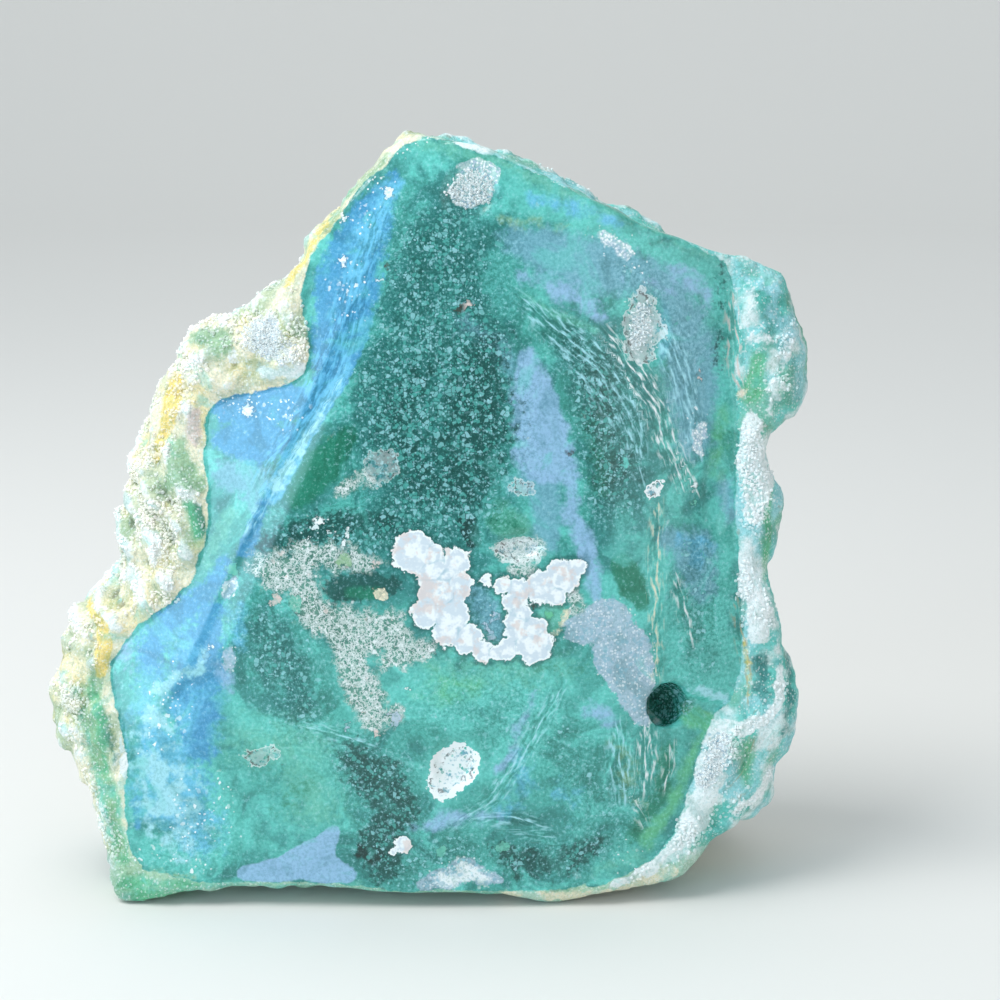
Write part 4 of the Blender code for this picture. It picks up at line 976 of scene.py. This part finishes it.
# A Mix node of colours takes its share at 0 and its colours at 6 and 7, and gives the mix at 2.
# A Map Range node takes a value, the two values that it runs between and what they become.
MIX, MATH, RANGE = "ShaderNodeMix", "ShaderNodeMath", "ShaderNodeMapRange"
NOISE, CELLS = "ShaderNodeTexNoise", "ShaderNodeTexVoronoi"
COLOURS, SMOOTH = {"data_type": "RGBA"}, {"interpolation_type": "SMOOTHSTEP"}
TIMES, TIMES_PLUS = {"operation": "MULTIPLY"}, {"operation": "MULTIPLY_ADD"}


class StoneColour:
    """The stone's colour as tones laid over each other, with the noise and cells that they share.

    A tone is the name of a tint, or a socket that gives a colour. A new one has the clouded green,
    the weathered crust over it and the colours of LAYERS over that. The marks have methods.
    """

    def __init__(self, tree, colours, given):
        """Given names what the material reads off the mesh, by the output that gives it."""
        self.add = add = partial(node, tree)
        self.tints = {name: full(getattr(colours, name))
                      for name in SpecimenColours.__annotations__}
        self.given = {name: add("ShaderNodeAttribute", (), out, attribute_name=name)
                      for out, names in given for name in names}
        place = add("ShaderNodeTexCoord", (), "Object")
        self.place = add("ShaderNodeVectorMath", {0: place, "Scale": 1 / MM}, 0, operation="SCALE")
        parts = []
        for size, detail, roughness, distortion in NOISES:
            self.noise = add(NOISE, {"Vector": self.place, "Scale": 1 / size, "Detail": detail,
                                     "Roughness": roughness, "Distortion": distortion}, "Color")
            parts += add("ShaderNodeSeparateColor", {0: self.noise}).outputs[:]
        self.wisps, self.fields = parts[:3], parts[3:]
        self.colour = "turquoise"
        self.lay("aqua", self.wisps[0], low=0.49, high=0.62, most=0.95)
        self.lay("teal", self.wisps[1], low=0.52, high=0.38, most=0.8)
        self.worn = self.frayed("rind", self.fields[3], fray=0.8, low=0.76, high=1.04)
        self.colour = add(MIX, {0: self.worn, 6: self.colour, 7: self.given["crust"]}, 2, **COLOURS)
        self.weathering()
        for k, (name, fray, soft) in enumerate(LAYERS):
            field, middle = self.fields[k % len(self.fields)], (1 + fray) / 2
            level = add(MATH, {0: field, 1: fray, 2: self.given[name]}, 0, **TIMES_PLUS)
            self.lay(name, level, low=middle - soft, high=middle + soft, most=LAYER_MOST)

    def over(self, under, tone, field, low, high, most=1.0, least=0.0, within=None, blend="MIX",
             run="SMOOTHSTEP"):
        """One tone over another where a field runs from low to high, as far as within lets it."""
        share = self.add(RANGE, {0: field, 1: low, 2: high, 3: least, 4: most}, 0,
                         interpolation_type=run)
        if within is not None:
            share = self.add(MATH, {0: share, 1: within}, 0, **TIMES)
        under, tone = (self.tints.get(each, each) for each in (under, tone))
        return self.add(MIX, {0: share, 6: under, 7: tone}, 2, data_type="RGBA", blend_type=blend)

    def lay(self, tone, field, **how):
        """Lays a tone over the colour so far."""
        self.colour = self.over(self.colour, tone, field, **how)

    def frayed(self, name, field, fray, low, high):
        """How much shows of what the mesh keeps under a name, once noise has frayed its edge."""
        level = self.add(MATH, {0: field, 1: fray, 2: self.given[name]}, 0, **TIMES_PLUS)
        return self.add(RANGE, {0: level, 1: low, 2: high}, 0, **SMOOTH)

    def weathering(self):
        """The rind: white on its tops, partly its own white and partly painted light; green and
        brown in its seams, partly painted shade; with honey stains.
        """
        worn, fields = self.worn, self.fields
        uneven = self.add(MATH, {0: fields[5], 1: 0.8, 2: self.given["raised"]}, 0, **TIMES_PLUS)
        # Painted shade: sage darkens the rind's low seams.
        self.lay("sage", uneven, low=0.30, high=-0.05, most=0.42, within=worn, blend="MULTIPLY")
        # Brown in the lowest seams: painted shade over the matrix's own brown.
        self.lay("umber", uneven, low=0.06, high=-0.20, most=0.5, within=worn)
        # White on the tops of the relief: painted light over the crust's own white.
        self.lay("white", uneven, low=0.55, high=0.9, most=0.8, within=worn)
        self.lay("honey", fields[0], low=0.60, high=0.70, most=0.45, within=worn)

    def break_up(self):
        """Ragged cells of two sizes, each with how far inside it a point is and three numbers."""
        warped = self.add("ShaderNodeVectorMath",
                          {0: self.noise, 1: (CELL_WARP,) * 3, 2: self.place}, 0, **TIMES_PLUS)
        edge = self.add(CELLS, {"Vector": warped, "Scale": 1 / CELL_SIZES[0]}, "Distance",
                        feature="DISTANCE_TO_EDGE")
        self.cells = []
        for size, (low, high) in zip(CELL_SIZES, CELL_RIMS):
            cell = self.add(CELLS, {"Vector": warped, "Scale": 1 / size})
            inside = cell.outputs["Distance"] if self.cells else edge
            shape = self.add(RANGE, {0: inside, 1: low, 2: high}, 0)
            own = self.add("ShaderNodeSeparateColor", {0: cell.outputs["Color"]})
            self.cells.append((shape, *own.outputs))

    def strew(self, tone, cell, much, most, strength):
        """Lays a tone in some cells: more where there is much, and at most this share of them."""
        shape, chance, _, _ = cell
        wanted = self.add(MATH, {0: much, 1: most}, 0, **TIMES)
        there = self.add(MATH, {0: wanted, 1: chance}, 0, operation="SUBTRACT")
        there = self.add(RANGE, {0: there, 1: 0.0, 2: 0.03}, 0)
        there = self.add(MATH, {0: there, 1: shape}, 0, **TIMES)
        there = self.add(MATH, {0: there, 1: strength}, 0, **TIMES)
        tone = self.tints.get(tone, tone)
        self.colour = self.add(MIX, {0: there, 6: self.colour, 7: tone}, 2, **COLOURS)

    def veils(self):
        """Clear and milky wisps that drift through every colour."""
        self.lay("turquoise", self.wisps[2], low=0.50, high=0.36, most=0.38, blend="MULTIPLY")
        self.lay("aqua", self.wisps[2], low=0.53, high=0.68, most=0.50)

    def specks(self):
        """Fine dark and light specks all over, strongest in the grainy ground."""
        noise = self.add(NOISE, {"Vector": self.place, "Scale": 1 / SPECK_SIZE, "Detail": 2.0,
                                 "Roughness": 0.7}, "Fac")
        much = self.add(RANGE, {0: self.given["grainy"], 3: 0.26, 4: 0.75}, 0)
        self.lay("turquoise", noise, low=0.54, high=0.36, within=much, blend="MULTIPLY")
        self.lay("ice", noise, low=0.54, high=0.72, within=much)

    def green_grains(self):
        """Ragged green and pale grains in dark ground, in clumps that thin out at the edges."""
        much = self.frayed("grainy", self.wisps[1], fray=1.8, low=1.20, high=2.05)
        gloom = self.add(MATH, {0: much, 1: 0.55}, 0, **TIMES)
        self.colour = self.add(MIX, {0: gloom, 6: self.colour, 7: self.tints["deep"]}, 2, **COLOURS)
        for cell, most in zip(self.cells, (0.42, 0.50)):
            tone = self.over("turquoise", "ice", cell[2], low=0.30, high=1.0, most=0.85)
            self.strew(tone, cell, much, most, strength=0.70)

    def moss(self):
        """Grey-green moss: dark gaps, curled white threads through it, white and pink grains."""
        add, white = self.add, self.tints["white"]
        share = self.frayed("mossy", self.fields[1], fray=1.6, low=1.10, high=1.55)
        ground = add(MATH, {0: share, 1: 0.80}, 0, **TIMES)
        self.colour = add(MIX, {0: ground, 6: self.colour, 7: self.tints["lichen"]}, 2, **COLOURS)
        self.lay("deep", self.fields[5], low=0.52, high=0.40, most=0.45, within=ground)
        for field, near in ((self.fields[3], 0.040), (self.fields[4], 0.030)):
            thread = add(MATH, {0: field, 1: 0.5, 2: near}, 0, operation="COMPARE")
            thread = add(MATH, {0: thread, 1: ground}, 0, **TIMES)
            thread = add(MATH, {0: thread, 1: 0.6}, 0, **TIMES)
            self.colour = add(MIX, {0: thread, 6: self.colour, 7: white}, 2, **COLOURS)
        for cell, most in zip(self.cells, (0.12, 0.24)):
            tone = self.over("white", "blush", cell[3], low=0.86, high=0.90, run="LINEAR")
            faint = add(RANGE, {0: cell[2], 3: 0.15, 4: 0.75}, 0)
            self.strew(tone, cell, share, most, strength=faint)

    def streaks(self):
        """Fine threads along the banding, light and dark by turns, a few to the millimetre; the
        light ones are partly painted highlights.
        """
        along, across, much = self.add("ShaderNodeSeparateXYZ", {0: self.given["flow"]}).outputs
        across = self.add(MATH, {0: across, 1: THREADS_TO_A_MM}, 0, **TIMES)
        along = self.add(MATH, {0: along, 1: THREAD_BREAKS}, 0, **TIMES)
        lane = self.add("ShaderNodeCombineXYZ", {0: across, 1: along}, 0)
        lanes = self.add(NOISE, {"Vector": lane, "Scale": 1.0, "Detail": 3.0}, "Fac",
                         noise_dimensions="2D")
        self.lay("turquoise", lanes, low=0.50, high=0.38, most=0.45, within=much, blend="MULTIPLY")
        # The light threads are partly painted highlights off the rippled polish, over the banding's
        # own colours.
        self.lay(self.given["flow_colour"], lanes, low=0.48, high=0.74, most=0.90, within=much)

    def frost(self):
        """Druse seen as colour: white and pearly crystals, with the stone's own colour between."""
        coarse, fine = self.cells
        share = self.frayed("drusy", self.fields[2], fray=1.3, low=1.02, high=1.22)
        tone = self.over("pearl", "white", fine[2], low=0.1, high=0.6, run="LINEAR")
        tone = self.over(self.colour, tone, fine[0], low=0.0, high=1.0, least=0.45, run="LINEAR")
        self.colour = self.add(MIX, {0: share, 6: self.colour, 7: tone}, 2, **COLOURS)
        self.strew("white", fine, self.given["pearl"], most=0.45, strength=0.5)
        self.strew("slate", coarse, self.given["pearl"], most=0.35, strength=0.5)
        return share

    def flecks(self):
        """White flecks of half a millimetre and less."""
        for cell, most in zip(self.cells, (0.10, 0.18)):
            self.strew("white", cell, self.given["flecked"], most, strength=cell[2])

    def cavities(self):
        """Old cavities: an uneven white wall, grey and white grains within, brown at its edge."""
        fields, wall = self.fields, self.given["cavity_wall"]
        away = self.given["cavity"]
        for field, much in ((fields[0], 2.6), (fields[3], 1.2)):
            away = self.add(MATH, {0: field, 1: much, 2: away}, 0, **TIMES_PLUS)
        away = self.add(MATH, {0: away, 1: 1.9}, 0, operation="SUBTRACT")
        chalky = self.add(RANGE, {0: wall, 1: 0.1, 2: 0.35, 3: 0.4, 4: 1.0}, 0)
        uneven = self.add(RANGE, {0: fields[1], 1: 0.35, 2: 0.65, 3: 0.4, 4: 1.5}, 0)
        deeper = self.add(MATH, {0: wall, 1: uneven, 2: away}, 0, **TIMES_PLUS)
        solid = self.add(RANGE, {0: wall, 1: 0.15, 2: 0.25, 3: 0.25, 4: 0.9}, 0)
        stained = self.add(RANGE, {0: fields[4], 1: 0.50, 2: 0.58, 4: 0.8}, 0, **SMOOTH)
        tone = self.over("slate", "white", fields[5], low=0.34, high=0.48)
        tone = self.over(self.colour, tone, self.cells[1][2], low=0.0, high=0.14, within=solid)
        tone = self.over(tone, "umber", deeper, low=-0.50, high=-0.05, within=stained)
        self.lay("aqua", away, low=0.9, high=0.0, most=0.7, within=wall)
        self.lay("white", away, low=0.06, high=-0.10, within=chalky)
        self.lay(tone, deeper, low=0.05, high=-0.10)

    def knobs(self):
        """Single ragged grains, each in its own colour, with smaller grains in it."""
        away = self.add(MATH, {0: self.fields[4], 1: 2.2, 2: self.given["knobs"]}, 0, **TIMES_PLUS)
        grain = self.add(MATH, {0: self.cells[1][1], 1: 0.5}, 0, **TIMES)
        own = self.add(MIX, {0: grain, 6: self.given["knob_colour"], 7: self.colour}, 2, **COLOURS)
        self.lay("pool", away, low=1.30, high=1.10, most=0.35)
        self.lay(own, away, low=1.14, high=0.98)

    def white_cluster(self):
        """White chalcedony balls grown into one body: pearly folds, white rims, painted shade in
        the creases and a dark outline of painted shadow.
        """
        add, fields, tints = self.add, self.fields, self.tints
        away, core, crease = add("ShaderNodeSeparateXYZ", {0: self.given["balls"]}).outputs
        for field, much in ((fields[3], 1.2), (fields[0], 1.6)):
            away = add(MATH, {0: field, 1: much, 2: away}, 0, **TIMES_PLUS)
        within = add(RANGE, {0: away, 1: 1.44, 2: 1.32}, 0, **SMOOTH)
        inside = add(RANGE, {0: away, 1: 0.85, 2: 1.25}, 0, **SMOOTH)
        rings = add(MATH, {0: fields[1], 1: 3.2, 2: core}, 0, **TIMES_PLUS)
        rings = add(MATH, {0: rings, 1: 1.7}, 0, **TIMES)
        rings = add(MATH, {0: rings, 1: 1.0}, 0, operation="PINGPONG")
        rings = add(RANGE, {0: rings, 1: 0.20, 2: 0.9, 3: 0.45, 4: 0.97}, 0, **SMOOTH)
        rim = add(MATH, {0: rings, 1: inside}, 0, operation="MAXIMUM")
        tone = add(MIX, {0: rim, 6: tints["pearl"], 7: tints["white"]}, 2, **COLOURS)
        # Painted shade: slate in the creases between the balls.
        tone = self.over(tone, "slate", crease, low=0.30, high=0.02, most=0.9, within=fields[0])
        tone = self.over(tone, "blush", fields[2], low=0.50, high=0.62, most=0.6)
        # Painted shadow: a dark green ring just outside the cluster.
        self.lay("deep", away, low=2.00, high=1.42, most=0.6)
        self.colour = add(MIX, {0: within, 6: self.colour, 7: tone}, 2, **COLOURS)
        return within


def empty_material(name):
    """A new material whose node tree holds nothing."""
    material = bpy.data.materials.new(name)
    material.use_nodes = True
    material.node_tree.nodes.clear()
    return material


def polished_and_weathered_chalcedony(colours):
    """Chalcedony, ground and polished in front and weathered elsewhere.

    The polish is glossy over crisp grains and milky bands. The rind is chalky and dull.
    """
    material = empty_material("polished_and_weathered_chalcedony")
    stone = StoneColour(material.node_tree, colours, GROUND + MARKS)
    add = stone.add
    stone.break_up()
    stone.veils()
    stone.specks()
    stone.green_grains()
    stone.moss()
    stone.streaks()
    frosted = stone.frost()
    stone.flecks()
    stone.cavities()
    stone.knobs()
    clustered = stone.white_cluster()
    stone.strew("white", stone.cells[1], stone.worn, most=0.35, strength=0.40)
    grit = add(NOISE, {"Vector": stone.place, "Scale": 1 / GRIT_SIZE, "Detail": 2.0,
                       "Roughness": 0.7}, "Fac")
    grit = add(MATH, {0: grit, 1: stone.given["rind"]}, 0, **TIMES)
    bump = add("ShaderNodeBump", {"Height": grit, "Strength": 0.9, "Distance": GRIT_HEIGHT * MM}, 0)
    dull = add(MATH, {0: stone.worn, 1: frosted}, 0, operation="MAXIMUM")
    milky = add(MATH, {0: clustered, 1: 0.3}, 0, **TIMES)
    dull = add(MATH, {0: dull, 1: milky}, 0, operation="MAXIMUM")
    roughness = add(RANGE, {0: dull, 3: POLISH_ROUGHNESS, 4: RIND_ROUGHNESS}, 0)
    surface = add("ShaderNodeBsdfPrincipled", {"Base Color": stone.colour, "Roughness": roughness,
                                               "IOR": QUARTZ_IOR, "Normal": bump}, 0)
    add("ShaderNodeOutputMaterial", {"Surface": surface})
    return material


def grown_quartz(name, colours, roughness, lift):
    """Grains and crystals of quartz that take the stone's colour beneath them, and a paler one.

    The grains of the crust are chalky and dull. The crystals of the druse glint.
    """
    material = empty_material(name)
    stone = StoneColour(material.node_tree, colours, GROUND)
    stone.lay("white", stone.fields[4], low=0.20, high=0.42, most=lift)
    surface = stone.add("ShaderNodeBsdfPrincipled", {"Base Color": stone.colour,
                                                     "Roughness": roughness, "IOR": QUARTZ_IOR}, 0)
    stone.add("ShaderNodeOutputMaterial", {"Surface": surface})
    return material


def pale_painted_board(colour):
    """Smooth painted board: even, pale and without gloss."""
    material = bpy.data.materials.new("pale_painted_board")
    material.use_nodes = True
    surface = material.node_tree.nodes["Principled BSDF"]
    surface.inputs["Base Color"].default_value = full(colour)
    surface.inputs["Roughness"].default_value = 0.8
    return material


# --- What is scattered ------------------------------------------------------------------------
def scatter_tree(name, where, grain):
    """Geometry Nodes that grow small shapes where the surface has much of an attribute."""
    tree = bpy.data.node_groups.new(name, "GeometryNodeTree")
    for label, kind in (("Geometry", "Geometry"), ("Density", "Float"), ("Radius", "Float"),
                        ("Seed", "Int"), ("Material", "Material")):
        tree.interface.new_socket(label, in_out="INPUT", socket_type="NodeSocket" + kind)
    tree.interface.new_socket("Geometry", in_out="OUTPUT", socket_type="NodeSocketGeometry")
    add = partial(node, tree)
    given = add("NodeGroupInput").outputs
    much = add("GeometryNodeInputNamedAttribute", {"Name": where}, 0, data_type="FLOAT")
    dense = add(MATH, {0: much, 1: given["Density"]}, 0, **TIMES)
    sown = add("GeometryNodeDistributePointsOnFaces",
               {"Mesh": given["Geometry"], "Density": dense, "Seed": given["Seed"]}).outputs
    if grain == "ball":
        shape = add("GeometryNodeMeshIcoSphere", {"Radius": 1.0, "Subdivisions": 1}, "Mesh")
    else:
        shape = add("GeometryNodeMeshCone", {"Vertices": 6, "Radius Top": 0.15,
                                             "Radius Bottom": 0.9, "Depth": 2.0}, "Mesh")
    spread = add("FunctionNodeRandomValue", {"Min": SMALLEST_GRAIN, "Max": LARGEST_GRAIN,
                                             "Seed": given["Seed"]}, "Value",
                 data_type="FLOAT_VECTOR")
    scale = add("ShaderNodeVectorMath", {0: spread, "Scale": given["Radius"]}, 0, operation="SCALE")
    grown = add("GeometryNodeInstanceOnPoints", {"Points": sown["Points"], "Instance": shape,
                                                 "Rotation": sown["Rotation"], "Scale": scale}, 0)
    real = add("GeometryNodeRealizeInstances", {"Geometry": grown}, 0)
    done = add("GeometryNodeSetMaterial", {"Geometry": real, "Material": given["Material"]}, 0)
    add("NodeGroupOutput", {"Geometry": done})
    return tree


def scattered_piece(name, tree, **given):
    """Runs the tree over the finished stone, and keeps the result as a plain mesh."""
    holder = bpy.data.objects.new(name + "_source", bpy.data.objects["stone"].data.copy())
    bpy.context.scene.collection.objects.link(holder)
    modifier = holder.modifiers.new("grow", "NODES")
    modifier.node_group = tree
    for item in tree.interface.items_tree:
        if item.in_out == "INPUT" and item.name in given:
            modifier[item.identifier] = given[item.name]
    bpy.context.view_layer.update()
    graph = bpy.context.evaluated_depsgraph_get()
    mesh = bpy.data.meshes.new_from_object(holder.evaluated_get(graph))
    bpy.data.objects.remove(holder)
    if not mesh.polygons:
        raise RuntimeError(name + " came out empty")
    mesh.name = name
    piece = bpy.data.objects.new(name, mesh)
    bpy.context.scene.collection.objects.link(piece)
    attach(piece, "root")


# --- Operators --------------------------------------------------------------------------------
class SPECIMEN_OT_stone(bpy.types.Operator):
    """Makes the whole stone: its polished face, its rind and its colours"""
    bl_idname = "specimen.stone"
    bl_label = "Stone"

    def execute(self, context):
        sizes, colours = context.scene.specimen_skin, context.scene.specimen_colours
        mesh = fine_copy(sizes.step)
        paint(mesh, colours, work_relief(mesh, sizes))
        mesh.materials.append(polished_and_weathered_chalcedony(colours))
        mesh.shade_smooth()
        mesh.name = "stone"
        stone = bpy.data.objects.new("stone", mesh)
        context.scene.collection.objects.link(stone)
        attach(stone, "root")
        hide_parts(NODE)
        return {"FINISHED"}


class SPECIMEN_OT_granules(bpy.types.Operator):
    """Grows the rounded granules of the rind's crusts"""
    bl_idname = "specimen.granules"
    bl_label = "Rind granules"

    def execute(self, context):
        sizes, colours = context.scene.specimen_skin, context.scene.specimen_colours
        material = grown_quartz("weathered_quartz_grains", colours, roughness=0.6, lift=0.5)
        for side in ("left", "right", "back"):
            tree = scatter_tree(side + "_granules", side + "_crust", "ball")
            scattered_piece(side + "_rind_granules", tree, Material=material, Seed=sizes.seed,
                            Density=sizes.granules, Radius=sizes.granule)
        return {"FINISHED"}


class SPECIMEN_OT_druse(bpy.types.Operator):
    """Grows the small quartz crystals that line the hollows"""
    bl_idname = "specimen.druse"
    bl_label = "Druse"

    def execute(self, context):
        sizes, colours = context.scene.specimen_skin, context.scene.specimen_colours
        material = grown_quartz("grown_quartz_druse", colours, roughness=0.2, lift=0.96)
        tree = scatter_tree("druse", "crystal_bed", "crystal")
        scattered_piece("druse_crystals", tree, Material=material, Seed=sizes.seed + 1,
                        Density=sizes.crystals, Radius=sizes.crystal)
        return {"FINISHED"}


class SPECIMEN_OT_stage(bpy.types.Operator):
    """Sets the floor, the soft lights and the camera"""
    bl_idname = "specimen.stage"
    bl_label = "Stage"

    def execute(self, context):
        scene, sizes = context.scene, context.scene.specimen_stage
        aim = Vector(np.add(AIM, SHIFT)) * MM
        back, up = -EYE_AWAY * np.cos(EYE_RISE), EYE_AWAY * np.sin(EYE_RISE)
        eye = aim + Vector((0.0, back, up)) * MM
        camera = bpy.data.objects.new("camera", bpy.data.cameras.new("camera"))
        camera.data.lens = sizes.lens
        camera.data.clip_start = 1.0 * MM
        camera.location = eye
        camera.rotation_euler = (aim - eye).to_track_quat("-Z", "Y").to_euler()
        scene.collection.objects.link(camera)
        scene.camera = camera
        floor_mesh = bpy.data.meshes.new("floor")
        shape = bmesh.new()
        profile = [(FLOOR_RADIUS + SWEEP_RADIUS * np.sin(turn), SWEEP_RADIUS * (1 - np.cos(turn)))
                   for turn in np.linspace(0, np.pi / 2, SWEEP_STEPS)]
        rings = [[shape.verts.new((r * np.cos(a), r * np.sin(a), z)) for a in ROUND]
                 for r, z in profile]
        shape.faces.new(rings[0])
        for low, high in zip(rings, rings[1:]):
            for k in range(len(ROUND)):
                after = (k + 1) % len(ROUND)
                shape.faces.new((low[after], low[k], high[k], high[after])).smooth = True
        shape.to_mesh(floor_mesh)
        shape.free()
        floor_mesh.materials.append(pale_painted_board(sizes.floor))
        floor = bpy.data.objects.new("floor", floor_mesh)
        scene.collection.objects.link(floor)
        for name, size, place, towards in LIGHTS:
            light = bpy.data.lights.new(name, "AREA")
            light.energy = getattr(sizes, name)
            light.shape, light.size = "DISK", size
            lamp = bpy.data.objects.new(name, light)
            lamp.location = place
            turned = (Vector(towards) - Vector(place)).to_track_quat("-Z", "Y")
            lamp.rotation_euler = turned.to_euler()
            scene.collection.objects.link(lamp)
        bpy.data.lights["sheen"].color = sizes.cool
        world = bpy.data.worlds.new("room")
        world.use_nodes = True
        background = world.node_tree.nodes["Background"].inputs
        background["Color"].default_value = full(sizes.daylight)
        background["Strength"].default_value = sizes.sky
        scene.world = world
        scene.view_settings.view_transform = "Standard"
        return {"FINISHED"}


class SPECIMEN_PT_panel(bpy.types.Panel):
    bl_label = "Chrysoprase specimen"
    bl_idname = "SPECIMEN_PT_panel"
    bl_space_type = "VIEW_3D"
    bl_region_type = "UI"
    bl_category = "Specimen"

    def draw(self, context):
        for group in (context.scene.specimen_colours, context.scene.specimen_skin,
                      context.scene.specimen_stage):
            box = self.layout.box()
            for name in group.__annotations__:
                box.prop(group, name)
        for operator in OPERATORS:
            self.layout.operator(operator.bl_idname)


OPERATORS = (SPECIMEN_OT_stage, SPECIMEN_OT_stone, SPECIMEN_OT_granules, SPECIMEN_OT_druse)
CLASSES = (SpecimenColours, SkinSizes, StageSizes, *OPERATORS, SPECIMEN_PT_panel)


def register():
    for each in CLASSES:
        bpy.utils.register_class(each)
    bpy.types.Scene.specimen_colours = PointerProperty(type=SpecimenColours)
    bpy.types.Scene.specimen_skin = PointerProperty(type=SkinSizes)
    bpy.types.Scene.specimen_stage = PointerProperty(type=StageSizes)


def unregister():
    del bpy.types.Scene.specimen_stage
    del bpy.types.Scene.specimen_skin
    del bpy.types.Scene.specimen_colours
    for each in reversed(CLASSES):
        bpy.utils.unregister_class(each)


def main():
    """Makes every piece in order."""
    register()
    bpy.ops.specimen.stage()
    bpy.ops.specimen.stone()
    bpy.ops.specimen.granules()
    bpy.ops.specimen.druse()


if __name__ == "__main__":
    main()
